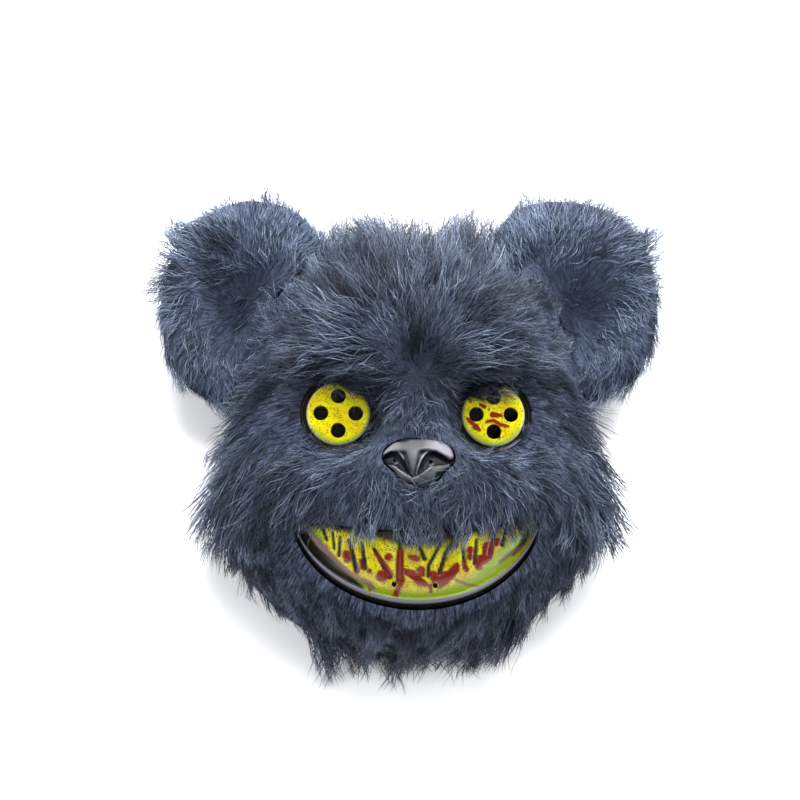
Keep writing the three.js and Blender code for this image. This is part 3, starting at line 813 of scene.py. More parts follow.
@dataclass
class StrandTree:
    """The Geometry Nodes tree that grows strands from a patch of skin, and its blank strands.

    The patch carries comb, reach, lift, thick, clump and dark for each of its points; dark is painted light
    and shade.
    """

    blanks: int = 5
    segments: int = 4
    half_width: float = 0.0088
    bend: tuple[float, float] = (0.05, 0.34)
    twist: tuple[float, float] = (-0.1, 0.1)
    seed: int = 11
    # What each strand draws by chance, as a share of its patch's value
    own_reach: tuple[float, float] = (0.7, 1.1)
    own_lift: tuple[float, float] = (0.75, 1.3)
    own_pull: tuple[float, float] = (0.55, 1.1)
    own_width: tuple[float, float] = (0.75, 1.2)
    # A lock's length, as a share: the shortest, and how much longer the longest is
    lock_reach: tuple[float, float] = (0.62, 0.62)
    fine_locks: float = 2.9
    stray: float = 0.75
    jitter: float = 0.22
    # The scale of a strand's width: what all have, and what each metre of its length adds
    width: tuple[float, float] = (0.0125, 0.48)
    # A strand's tone: its own share, its lock's share, and how the sum is spread and lowered
    tone: tuple[float, float, float, float] = (0.55, 0.45, 2.1, -0.55)
    spent: tuple[str, ...] = (
        "comb", "reach", "lift", "thick", "clump", "dark", "face", "along", "side", "shade"
    )
    sheet: Growth | None = None

    def blank(self, bend: float, twist: float) -> Piece:
        """Makes one strand of length 1 along Z, three-sided and tapering.

        Args:
            bend: how far the tip leans back towards the skin.
            twist: how far the middle bows sideways.

        Returns:
            The strand.
        """
        points: list[tuple[float, float, float]] = []
        along: list[float] = []
        for k in range(self.segments):
            t = k / self.segments
            width = self.half_width * (1.0 - 0.45 * t)
            for side in range(3):
                turn = side * 2 * math.pi / 3
                x = -bend * t * t + width * math.cos(turn)
                y = twist * math.sin(1.5 * math.pi * t) + width * math.sin(turn)
                points.append((x, y, t))
                along.append(t)
        points.append((-bend, -twist, 1.0))
        along.append(1.0)
        faces: Faces = [(2, 1, 0)]
        for k in range(self.segments - 1):
            for side in range(3):
                a, b = 3 * k + side, 3 * k + (side + 1) % 3
                faces.append((a, b, b + 3, a + 3))
        last = 3 * (self.segments - 1)
        faces += [(last + s, last + (s + 1) % 3, last + 3) for s in range(3)]
        mesh = bpy.data.meshes.new("blank_strand")
        mesh.from_pydata(points, [], faces, shade_flat=False)
        made = bpy.data.objects.new("blank_strand", mesh)
        write_floats(
            made,
            along=np.array(along),
            side=np.array([0.0, 0.5, 1.0] * self.segments + [0.5]),
        )
        return made

    def stock(self) -> bpy.types.Collection:
        """Makes a collection of blank strands of different bends."""
        rng = np.random.default_rng(self.seed)
        made = bpy.data.collections.new("blank_strands")
        for _ in range(self.blanks):
            made.objects.link(self.blank(float(rng.uniform(*self.bend)), float(rng.uniform(*self.twist))))
        return made

    def build(self, material: bpy.types.Material) -> None:
        """Builds the blanks and the tree."""
        self.sheet = Growth(
            "fur_strands",
            (
                ("Skin", "NodeSocketGeometry", None),
                ("Strands per square metre", "NodeSocketFloat", 800000.0),
                ("Clump size", "NodeSocketFloat", 0.0095),
                ("Clump turn", "NodeSocketFloat", 0.42),
                ("Wander", "NodeSocketFloat", 0.42),
                ("Sway", "NodeSocketFloat", 0.006),
                ("Floor", "NodeSocketFloat", 0.0004),
                ("Longest", "NodeSocketFloat", 0.06),
                ("Seed", "NodeSocketInt", 1),
            ),
        )
        n = self.sheet
        scatter = n.node("GeometryNodeDistributePointsOnFaces", distribute_method="RANDOM")
        density = n.times(n.given["Strands per square metre"], n.read("thick"))
        n.give(scatter, Mesh=n.given["Skin"], Density=density, Seed=n.given["Seed"])
        roots = n.store(n.out(scatter, "Points"), "face", n.out(scatter, "Normal"), "FLOAT_VECTOR", "POINT")
        place = n.out(n.node("GeometryNodeInputPosition"))
        wide, fine = self.locks(place)
        lots = n.give(n.node("ShaderNodeSeparateXYZ"), Vector=n.out(wide, "Color"))
        reach = self.length(lots.outputs["Z"])
        plant = n.give(n.node("GeometryNodeInstanceOnPoints"), Points=roots, **self.strand_kind())
        n.give(plant, Rotation=self.aim(place, wide, fine, reach), Scale=self.size(reach))
        pile = n.store(n.out(plant), "shade", self.shade(lots.outputs["X"]), "FLOAT", "INSTANCE")
        real = n.give(n.node("GeometryNodeRealizeInstances"), Geometry=pile)
        chart = self.chart(self.settled(n.out(real)))
        dress = n.give(n.node("GeometryNodeSetMaterial"), Geometry=chart, Material=material)
        n.feed(n.node("NodeGroupOutput").inputs[0], n.out(dress))

    def locks(self, place: Socket) -> tuple[Node, Node]:
        """Divides the skin into locks of uneven outline, and finer ones."""
        n = self.sheet
        uneven = n.vector("ADD", place, n.vector("SCALE", n.drift(place, 45.0, 1.0), 0.004))
        wide = n.node("ShaderNodeTexVoronoi", feature="F1")
        n.give(wide, Vector=uneven, Scale=n.scalar("DIVIDE", 1.0, n.given["Clump size"]))
        fine = n.node("ShaderNodeTexVoronoi", feature="F1")
        n.give(fine, Vector=place, Scale=n.scalar("DIVIDE", self.fine_locks, n.given["Clump size"]))
        return wide, fine

    def length(self, lot: Socket) -> Socket:
        """Gives each strand's length from its patch, its lock's lot and chance."""
        n = self.sheet
        uneven = n.plus(n.times(lot, self.lock_reach[1]), self.lock_reach[0])
        reach = n.times(n.read("reach"), uneven)
        reach = n.times(reach, n.chance(self.own_reach, 1))
        return n.scalar("MINIMUM", reach, n.times(n.given["Longest"], n.chance((0.8, 1.0), 8)))

    def strand_kind(self) -> dict[str, object]:
        """Gives the inputs that pick one of the blank strands for each root."""
        n = self.sheet
        made = n.node("GeometryNodeCollectionInfo", transform_space="ORIGINAL")
        n.give(made, Collection=self.stock(), Separate_Children=True, Reset_Children=True)
        return {"Instance": n.out(made), "Pick_Instance": True}

    def aim(
        self,
        place: Socket,
        wide: Node,
        fine: Node,
        reach: Socket,
    ) -> Socket:
        """Gives each strand's turn: combed, raised, led astray and drawn to its lock's middle."""
        n = self.sheet
        normal = n.read("face", "FLOAT_VECTOR")
        lift = n.times(n.read("lift"), n.chance(self.own_lift, 2))
        lying = n.vector("SCALE", n.read("comb", "FLOAT_VECTOR"), n.scalar("COSINE", lift))
        way = n.vector("ADD", lying, n.vector("SCALE", normal, n.scalar("SINE", lift)))
        rare = n.scalar("POWER", n.chance((0.0, 1.0), 3), 5.0)
        strays = n.times(n.given["Wander"], n.plus(rare, self.stray))
        way = n.vector("ADD", way, n.vector("SCALE", n.drift(place, 75.0, 2.0), strays))
        jitter = n.node("FunctionNodeRandomValue", data_type="FLOAT_VECTOR")
        n.give(jitter, Min=(-1.0, -1.0, -1.0), Max=(1.0, 1.0, 1.0))
        n.give(jitter, Seed=n.plus(n.given["Seed"], 4.0))
        shaken = n.vector("SCALE", n.out(jitter, "Value"), n.times(strays, self.jitter))
        way = n.vector("ADD", way, shaken)
        own = n.vector("SUBTRACT", n.out(wide, "Color"), (0.5, 0.5, 0.5))
        way = n.vector("ADD", way, n.vector("SCALE", own, n.given["Clump turn"]))
        pull = n.scalar("DIVIDE", n.times(n.read("clump"), n.chance(self.own_pull, 5)), reach)
        for cells in (wide, fine):
            to_middle = n.vector("SUBTRACT", n.out(cells, "Position"), place)
            way = n.vector("ADD", way, n.vector("SCALE", to_middle, pull))
        turn = n.give(n.node("FunctionNodeAlignRotationToVector", axis="Z"), Vector=way)
        roll = n.node("FunctionNodeAlignRotationToVector", axis="X", pivot_axis="Z")
        return n.out(n.give(roll, Rotation=n.out(turn), Vector=normal))

    def size(self, reach: Socket) -> Socket:
        """Gives each strand's width and length."""
        n = self.sheet
        plain = n.plus(n.times(reach, self.width[1]), self.width[0])
        width = n.times(plain, n.chance(self.own_width, 6))
        return n.out(n.give(n.node("ShaderNodeCombineXYZ"), X=width, Y=width, Z=reach))

    def shade(self, lot: Socket) -> Socket:
        """Gives each strand's darkness from 0 to 1, from chance, its lock and its patch's painted light and
        shade.
        """
        n = self.sheet
        own, lock, spread, drop = self.tone
        mine = n.times(n.chance((0.0, 1.0), 7), own)
        tone = n.plus(mine, n.times(lot, lock))
        tone = n.plus(n.times(tone, spread), drop)
        dark = n.read("dark")
        whole = n.plus(n.times(tone, n.scalar("SUBTRACT", 1.0, dark)), dark)
        return n.scalar("MINIMUM", n.scalar("MAXIMUM", whole, 0.0), 1.0)

    def settled(self, pile: Socket) -> Socket:
        """Sways the strands towards their tips, and lays what would pass the ground on it."""
        n = self.sheet
        here = n.out(n.node("GeometryNodeInputPosition"))
        free = n.times(n.given["Sway"], n.scalar("POWER", n.read("along"), 1.1))
        bent = n.node("GeometryNodeSetPosition")
        n.give(bent, Geometry=pile, Offset=n.vector("SCALE", n.drift(here, 88.0, 2.0), free))
        parts = n.give(n.node("ShaderNodeSeparateXYZ"), Vector=here).outputs
        lowest = n.plus(n.given["Floor"], n.times(n.read("side"), 0.0003))
        held = n.node("ShaderNodeCombineXYZ")
        n.give(held, X=parts["X"], Y=parts["Y"], Z=n.scalar("MAXIMUM", parts["Z"], lowest))
        return n.out(n.give(n.node("GeometryNodeSetPosition"), Geometry=n.out(bent), Position=n.out(held)))

    def chart(self, pile: Socket) -> Socket:
        """Charts the strands: across is how dark each is, and up is how far along it."""
        n = self.sheet
        shade, side = n.times(n.read("shade"), 0.94), n.times(n.read("side"), 0.02)
        across = n.plus(n.plus(shade, side), 0.02)
        along = n.plus(n.times(n.read("along"), 0.96), 0.02)
        pair = n.out(n.give(n.node("ShaderNodeCombineXYZ"), X=across, Y=along))
        return n.store(pile, "OFBake", pair, "FLOAT2", "CORNER")

    def grow(self, skin: Piece, name: str, seed: int, **sizes: float) -> Piece:
        """Grows the strands of one patch and deletes the patch.

        Args:
            skin: the patch, with its comb, reach, lift, thick, clump and dark.
            name: the finished piece's name.
            seed: the seed of everything random on it.
            sizes: the tree's inputs by name, with underscores for spaces.

        Returns:
            The strands as a plain mesh.
        """
        modifier = skin.modifiers.new("fur", "NODES")
        modifier.node_group = self.sheet.tree
        modifier[self.sheet.identifiers["Seed"]] = seed
        for key, value in sizes.items():
            modifier[self.sheet.identifiers[key.replace("_", " ")]] = value
        graph = bpy.context.evaluated_depsgraph_get()
        mesh = bpy.data.meshes.new_from_object(skin.evaluated_get(graph), depsgraph=graph)
        made = bpy.data.objects.new(name, mesh)
        mesh.name = name
        bpy.context.scene.collection.objects.link(made)
        spare = [a.name for a in mesh.attributes if a.name in self.spent]
        for key in spare:
            mesh.attributes.remove(mesh.attributes[key])
        skin.modifiers.clear()
        bpy.data.objects.remove(skin)
        return made


@dataclass
class Viewpoint:
    """Where the mask is seen from, a little from the chin's side, and its picture plane."""

    shop: Workshop
    lens: float = 60.0
    sensor: float = 36.0
    side_px: float = 800.0
    target: tuple[float, float, float] = (-7.0, 21.0, 45.0)
    away: float = 680.0
    tilt: float = 10.0
    lean: float = 3.0

    def axes(self) -> tuple[Array, Array, Array]:
        """Gives the directions to the right, up and back to the camera."""
        back = np.array([-math.sin(math.radians(self.lean)), -math.sin(math.radians(self.tilt)), 0.0])
        back[2] = math.sqrt(1.0 - back @ back)
        up = np.array([0.0, 1.0, 0.0])
        up = unit(up - back * (up @ back))
        return np.cross(up, back), up, back

    def eye(self) -> Array:
        """Gives the camera's place, in millimetres round the middle of the face."""
        return np.array(self.target) + self.axes()[2] * self.away

    def picture(self, points: Array) -> Array:
        """Finds where points show, in pixels across and down the picture."""
        right, up, back = self.axes()
        d = np.asarray(points) - self.eye()
        f, middle = self.lens / self.sensor * self.side_px, self.side_px / 2
        depth = -(d @ back)
        return np.stack([middle + f * (d @ right) / depth, middle - f * (d @ up) / depth], axis=-1)

    def make(self) -> None:
        """Makes the camera."""
        data = bpy.data.cameras.new("camera")
        data.lens, data.sensor_width = self.lens, self.sensor
        made = bpy.data.objects.new("camera", data)
        right, up, back = self.axes()
        turn = Matrix((right, up, back)).transposed().to_4x4()
        made.matrix_world = Matrix.Translation(Vector(self.shop.place(self.eye()))) @ turn
        bpy.context.scene.collection.objects.link(made)
        bpy.context.scene.camera = made

    def chart(self, points: Array, corner: tuple[float, float], scale: float) -> Array:
        """Finds where points show in a part of the picture, from its corner on and enlarged."""
        return (self.picture(points) - np.array(corner)) * scale


# The pieces of the mask


@dataclass
class Shell:
    """The moulded face under the fur, open at the back."""

    shop: Workshop
    wall: float = 1.6
    hole: float = 15.1
    turns: int = 108
    rows: int = 36

    def build(self) -> None:
        """Makes the shell with its two eye holes."""
        made = self.shop.wall("shell", self.turns, self.rows, 0.0, -self.wall)
        self.shop.cut(made, self.shop.eye_discs(self.hole, 20.0, 120.0))
        made.data.materials.append(ShellPlastic().make())
        settle(made, "shell", "face_shell")


@dataclass
class Mouth:
    """The mouth plate: its outline, its teeth and the paint on it."""

    shop: Workshop
    view: Viewpoint
    half_width: float = 59.0
    corner_up: float = -42.0
    upper_sag: float = 8.0
    lower_sag: float = 43.0
    end_height: float = 4.0
    gap: float = 0.4
    thickness: float = 2.0
    lip_width: float = 5.0
    lip_rise: float = 3.2
    tooth_rise: float = 1.8
    columns: int = 208
    rows: int = 66
    # How far the columns draw together towards the corners, in half turns
    crowding: float = 0.47
    groove_rise: float = -0.6
    paint_rise: float = 0.25
    speck: float = 0.36
    # How much broader the brush is than charted: a share of its radius, and what is added
    groove_brush: tuple[float, float] = (1.45, 0.0)
    red_brush: tuple[float, float] = (1.2, 1.0)
    # The gaps between the teeth, the paint and the vents, as they lie in the picture: across and
    # down from the chart's corner, enlarged by its scale, and the brush's radius.
    corner: tuple[float, float] = (270.0, 480.0)
    scale: float = 5.0
    grooves: Strokes = (
        ((262, 235, 4), (285, 300, 5)),
        ((315, 262, 4), (322, 345, 5)),
        ((352, 285, 4), (346, 378, 7)),
        ((395, 300, 5), (434, 452, 11)),
        ((462, 318, 5), (476, 440, 9)),
        ((520, 345, 6), (598, 480, 13)),
        ((652, 300, 8), (650, 500, 15)),
        ((742, 320, 6), (772, 395, 8)),
        ((848, 330, 6), (792, 430, 7), (790, 480, 8)),
        ((905, 320, 6), (880, 360, 7), (846, 465, 9)),
        ((962, 330, 5), (972, 440, 8)),
        ((1030, 300, 5), (1022, 420, 7)),
        ((1118, 262, 5), (1098, 370, 7)),
        ((1176, 255, 5), (1160, 325, 7)),
    )
    reds: Strokes = (
        ((380, 372, 17), (386, 398, 15)),
        ((496, 456, 11),),
        ((560, 480, 26),),
        ((592, 386, 17),),
        ((530, 370, 8), (572, 420, 8), (606, 470, 9)),
        ((650, 360, 13), (648, 440, 17), (650, 492, 15)),
        ((660, 500, 10), (640, 545, 12), (626, 578, 12)),
        ((672, 458, 13), (708, 470, 18), (745, 505, 17), (776, 522, 11)),
        ((752, 450, 17), (760, 470, 14)),
        ((802, 530, 10), (806, 556, 8)),
        ((812, 470, 15), (830, 500, 22), (862, 480, 19), (898, 478, 21), (925, 445, 19), (932, 428, 11)),
        ((842, 528, 14), (880, 505, 16)),
        ((930, 330, 10),),
        ((1000, 352, 17),),
        ((1000, 385, 15),),
        ((968, 415, 8), (980, 448, 11)),
        ((1042, 432, 17), (1048, 388, 12)),
        ((1090, 338, 24), (1084, 380, 24), (1066, 404, 16)),
        ((1132, 312, 17),),
        ((700, 385, 9), (734, 396, 12)),
        ((455, 402, 8), (462, 440, 9)),
    )
    smears: Strokes = (
        ((196, 262, 8), (240, 318, 13), (300, 372, 11), (368, 440, 13), (430, 486, 12)),
        ((430, 486, 12), (500, 520, 15), (520, 540, 9)),
        ((286, 350, 9), (282, 318, 5)),
        ((436, 470, 10), (448, 430, 8)),
        ((930, 500, 9), (980, 520, 8), (1048, 534, 5)),
        ((1150, 408, 9), (1192, 372, 14), (1256, 334, 6)),
    )
    drip: Stroke = ((502, 525, 14), (498, 560, 8), (500, 612, 7))
    darks: Strokes = (
        ((150, 226, 30), (205, 318, 48), (285, 412, 48), (370, 486, 34), (450, 538, 18)),
        ((185, 250, 22), (222, 312, 24)),
        ((1300, 250, 20), (1262, 318, 16), (1218, 372, 8)),
    )
    greens: Strokes = (
        ((420, 516, 22), (520, 562, 32), (640, 592, 36), (760, 598, 38), (860, 586, 38), (950, 556, 40)),
        ((950, 560, 36), (1040, 510, 42), (1120, 440, 46), (1190, 370, 46), (1255, 300, 36)),
        ((240, 262, 10), (258, 300, 12)),
    )
    # The painted shadow of the muzzle's fur fringe on the teeth's upper edge
    under_fur: Strokes = (
        ((170, 190, 34), (300, 206, 34), (425, 228, 36), (550, 258, 40), (650, 284, 42), (750, 288, 42)),
        ((750, 288, 42), (850, 272, 40), (950, 250, 38), (1050, 228, 36), (1150, 200, 34), (1270, 180, 34)),
    )
    vents: tuple[tuple[float, float], ...] = ((621, 520), (826, 527))

    def edges(self, along: Array) -> tuple[Array, Array, Array]:
        """Gives the plate's columns.

        Args:
            along: shares of the way from the middle to a corner.

        Returns:
            The place across, and the heights of the upper and the lower edge.
        """
        wide = 1.0 - along * along
        upper = self.corner_up - self.upper_sag * wide
        lower = self.corner_up - self.end_height - (self.lower_sag - self.end_height) * wide**0.62
        return self.half_width * along, upper, lower

    def outline(self, clearance: float) -> Array:
        """Gives the outline, clockwise, grown by a clearance."""
        along = np.sin(np.linspace(-1, 1, 61) * 0.5 * math.pi)
        x, upper, lower = self.edges(along)
        x = x * (1 + clearance / self.half_width)
        over = np.stack([x, upper + clearance], axis=-1)
        return np.concatenate([over, np.stack([x, lower - clearance], axis=-1)[::-1]])

    def chart(self, points: Array) -> Array:
        """Finds where points show in the picture, in the units that the paint is given in."""
        return self.view.chart(points, self.corner, self.scale)

    def build(self) -> None:
        """Makes the plate with its relief, its paint and its vents."""
        turn = self.crowding * math.pi
        x, upper, lower = self.edges(np.sin(np.linspace(-1, 1, self.columns) * turn) / math.sin(turn))
        down = np.linspace(0, 1, self.rows)
        yy = upper[:, None] + (lower - upper)[:, None] * down[None, :]
        xx = np.repeat(x[:, None], self.rows, axis=1)
        seat = self.shop.form.height(xx, yy) + self.gap
        spot = self.chart(np.stack([xx, yy, seat + self.thickness], axis=-1).reshape(-1, 3))
        lip = np.minimum(self.lip_width, 0.5 * (upper - lower)[:, None])
        above = (yy - lower[:, None]) / lip
        relief = self.relief(spot, above)
        front = np.stack([xx, yy, seat + self.thickness + relief], axis=-1).reshape(-1, 3)
        back = np.stack([xx, yy, seat], axis=-1).reshape(-1, 3)
        made = self.shop.mesh("mouth", np.concatenate([front, back]), self.faces(len(front)))
        self.paint(made, np.concatenate([spot, spot]), np.concatenate([above.reshape(-1)] * 2))
        self.shop.cut(made, [self.vent(x, y) for x, y in self.vents])
        made.data.materials.append(PaintedGlow().make("mouth_paint", self.speck))
        settle(made, "mouth", "mouth_plate")

    def widened(self, strokes: Strokes, brush: tuple[float, float]) -> Strokes:
        """Gives strokes with a broader brush."""
        share, more = brush
        return tuple(tuple((a, b, share * r + more) for a, b, r in stroke) for stroke in strokes)

    def relief(self, spot: Array, above: Array) -> Array:
        """Gives the height of the plate's front over its plain face.

        Args:
            spot: where the points lie on the chart.
            above: their distance from the lower edge, in widths of the lip.

        Returns:
            The height in millimetres.
        """
        bead = np.sqrt(np.clip(1.0 - (np.clip(above, 0, 1) * 2 - 1) ** 2, 0, 1)) * (above <= 1)
        groove = painted(spot, self.widened(self.grooves, self.groove_brush), 7.0).reshape(above.shape)
        tooth = ramp(above, 1.5, 3.2) * (1 - groove)
        red = painted(spot, self.widened(self.reds, self.red_brush), 3.0).reshape(above.shape)
        relief = self.lip_rise * bead + self.tooth_rise * tooth
        return relief + self.groove_rise * swell(above, 1.6, 0.5) + self.paint_rise * red

    def faces(self, count: int) -> Faces:
        """Lists the faces of the front, the back and the edges between them.

        Args:
            count: how many points the front has.

        Returns:
            The faces, seen from outside.
        """
        faces: Faces = []
        rows = self.rows
        for k in range(self.columns - 1):
            for r in range(rows - 1):
                a = k * rows + r
                faces.append((a, a + 1, a + rows + 1, a + rows))
                faces.append((count + a, count + a + rows, count + a + rows + 1, count + a + 1))
            a, b = k * rows, k * rows + rows - 1
            faces.append((a, a + rows, count + a + rows, count + a))
            faces.append((b, count + b, count + b + rows, b + rows))
        for r in range(rows - 1):
            faces.append((r, count + r, count + r + 1, r + 1))
            a = (self.columns - 1) * rows + r
            faces.append((a, a + 1, count + a + 1, count + a))
        return faces

    def paint(self, made: Piece, spot: Array, above: Array) -> None:
        """Stores how much of each colour covers the plate's points."""
        grooves = self.widened(self.grooves, self.groove_brush)
        shade = np.maximum(painted(spot, grooves, 4.0), 0.99 * painted(spot, self.darks, 12.0))
        red = painted(spot, self.widened(self.reds, self.red_brush), 3.0)
        # A lilac-grey line on the lip bead's upper flank: partly the clear plastic, partly a painted
        # highlight.
        rim = ramp(above, 0.5, 0.6) * (1 - ramp(above, 0.84, 0.98))
        write_floats(
            made,
            lip=1 - ramp(above, 0.5, 0.62),
            edge=rim * (1 - painted(spot, (self.drip,), 3.0)),
            red=red * (above >= 1.02),
            smear=0.8 * painted(spot, (*self.smears, self.drip), 6.0),
            # Painted shadow of the fur fringe on the teeth's upper edge.
            shade=np.maximum(shade, 0.97 * painted(spot, self.under_fur, 20.0)),
            green=0.9 * painted(spot, self.greens, 18.0),
            pale=np.zeros(len(spot)),
        )

    def vent(self, across: float, down: float) -> Piece:
        """Makes the cutter of a vent hole, at a place in the picture."""
        wanted = np.array([across, down])
        spot = np.array([0.0, -75.0, 80.0])
        for _ in range(30):
            spot[2] = float(self.shop.form.height(spot[0:1], spot[1:2])[0]) + 2.5
            miss = (wanted - self.chart(spot[None])[0]) * 0.1
            spot[:2] += miss * np.array([1.0, -1.0])
        return self.shop.disc(float(spot[0]), float(spot[1]), 1.2, 20.0, 140.0)


@dataclass
class Eye:
    """A button eye: a domed disc in a raised edge, a plug through the shell and four holes."""

    shop: Workshop
    view: Viewpoint
    side: Side
    disc: float = 16.0
    rim: float = 18.6
    rim_height: float = 1.6
    top: float = 4.2
    crown: float = 1.0
    wall: float = 1.6
    plug: float = 14.6
    plug_depth: float = 5.0
    hole: float = 3.7
    pitch: float = 8.6
    gap: float = 0.4
    reds: Strokes = (
        ((492.8, 414.7, 3.2), (501.0, 415.4, 1.7)),
        ((487.0, 421.6, 1.6), (493.6, 420.4, 2.0), (499.7, 424.3, 2.1), (508.0, 426.4, 1.5)),
        ((480.4, 404.6, 1.6), (484.4, 406.8, 2.0)),
        ((475.6, 426.6, 3.4), (479.6, 430.0, 1.7)),
        ((467.6, 418.6, 1.6), (472.4, 423.0, 2.6)),
        ((498.9, 436.9, 2.2),),
        ((470.6, 401.6, 1.5),),
        ((476.5, 411.0, 1.1),),
        ((489.0, 409.5, 1.2),),
        ((474.0, 402.0, 0.7),),
        ((483.6, 401.0, 0.8),),
        ((469.0, 407.0, 0.7),),
    )
    # The painted green reflection on the lower edge of the right disc, and below that of the left, as they
    # lie in the picture
    greens: Strokes = (
        ((471.0, 431.0, 2.0), (482.0, 441.0, 3.0), (495.0, 445.0, 3.0)),
        ((495.0, 445.0, 3.0), (509.0, 440.0, 2.5), (518.0, 430.0, 2.0)),
    )
    flange_arcs: Strokes = (
        ((317.0, 440.0, 1.0), (330.0, 446.5, 1.4), (345.0, 447.0, 1.2)),
        ((489.0, 447.0, 0.8), (501.0, 448.0, 1.6), (514.0, 444.5, 2.0), (524.0, 439.0, 1.2)),
    )
    brow: BrowEdge = BrowEdge()
    speck: float = 0.34
    # The dome's rings and the steps round it, finer where the red paint is
    detail: dict[Side, tuple[int, int]] = field(
        default_factory=lambda: {Side.LEFT: (30, 104), Side.RIGHT: (48, 160)}
    )
    left_greens: Strokes = (
        ((314.0, 429.0, 1.5), (325.0, 440.0, 3.0), (338.0, 444.0, 3.0)),
        ((338.0, 444.0, 3.0), (352.0, 440.0, 2.5), (364.0, 430.0, 1.5)),
    )

    def profile(self) -> list[tuple[float, float]]:
        """Gives the turned section from the middle of the top, out, and back under it."""
        top, flat = self.top, self.disc - 2.2
        shares = np.linspace(0, 1, self.detail[self.side][0])
        dome = [(flat * s, top - 0.55 * self.crown * s * s) for s in shares]
        drop, low = top - 0.55 * self.crown, self.rim_height * 0.3
        fall = np.linspace(0.2, 1.5, 9)
        edge = [(flat + 2.2 * math.sin(a), low + (drop - low) * math.cos(a) ** 0.8) for a in fall]
        rim = [(self.disc + 0.4, low), (self.rim - 1.3, low)]
        rim += [(self.rim - 0.9, self.rim_height * 0.8), (self.rim - 0.5, self.rim_height)]
        rim += [(self.rim - 0.15, self.rim_height * 0.85), (self.rim, self.rim_height * 0.5)]
        under = [(self.rim, 0.0), (self.plug, 0.0), (self.plug, -self.plug_depth)]
        inside = self.plug - self.wall
        under += [(inside, -self.plug_depth), (inside, top - self.crown - self.wall)]
        return dome + edge + rim + under + [(0.0, top - self.crown / 2 - self.wall)]

    def build(self) -> None:
        """Makes the eye and its paint."""
        profile, turns = self.profile(), self.detail[self.side][1]
        form = self.shop.form
        middle = np.array([self.side.value * form.eye_spacing / 2, form.eye_up, form.eye_seat + self.gap])
        turn = np.arange(turns) * (2 * math.pi / turns)
        points = [middle + np.array([0.0, 0.0, profile[0][1]])]
        for radius, z in profile[1:-1]:
            ring = np.stack([radius * np.sin(turn), radius * np.cos(turn), np.full(turns, z)], axis=-1)
            points.extend(middle + ring)
        points.append(middle + np.array([0.0, 0.0, profile[-1][1]]))
        name = f"eye_{self.side.name.lower()}_button"
        made = self.shop.mesh(name, np.array(points), closed_net(turns, len(profile) - 2))
        cutters = []
        for k in range(4):
            a = k * 0.5 * math.pi
            x, y = middle[0] + self.pitch * math.sin(a), middle[1] + self.pitch * math.cos(a)
            cutters.append(self.shop.disc(float(x), float(y), self.hole, 40.0, 90.0))
        self.shop.cut(made, cutters)
        self.paint(made, middle)
        made.data.materials.append(PaintedGlow().make(f"{name}_paint", self.speck))
        settle(made, "eye", f"eye_{self.side.name.lower()}")

    def paint(self, made: Piece, middle: Array) -> None:
        """Stores how much of each colour covers the eye's points."""
        here = points_of(made) / MM - self.shop.shift
        spot = self.view.picture(here)
        dx, dy = here[:, 0] - middle[0], here[:, 1] - middle[1]
        away = np.hypot(dx, dy)
        left = self.side is Side.LEFT
        # The arcs of the flange under each disc: on the right eye a painted highlight, on the left a mauve
        # tint.
        arcs = ramp(away, 16.2, 16.8) * painted(spot, self.flange_arcs, 1.2)
        shadow = self.brow.over(dx, dy, np.array(not left))
        low = ramp(0.7 * np.abs(dx) - dy, 4.0, 16.0)
        write_floats(
            made,
            red=np.zeros(len(here)) if left else painted(spot, self.reds, 0.7),
            smear=(0.6 if left else 0.25) * arcs,
            # The flange is the shell's black; under the brow's hanging fur the disc is painted in its
            # shadow.
            shade=np.maximum(ramp(away, 15.5, 16.1), ramp(shadow, 0.2, 2.0)),
            # Painted green reflection on the disc's lower edge.
            green=0.8 * painted(spot, self.left_greens if left else self.greens, 3.5),
            lip=(here[:, 2] < middle[2] - 0.2).astype(float),
            edge=(0.1 if left else 0.9) * arcs,
            # Painted highlight on the disc's rounded edge, stronger lower down.
            pale=ramp(away, 14.4, 15.6) * (1 - ramp(away, 15.5, 16.0)) * (0.4 + 0.4 * low),
        )


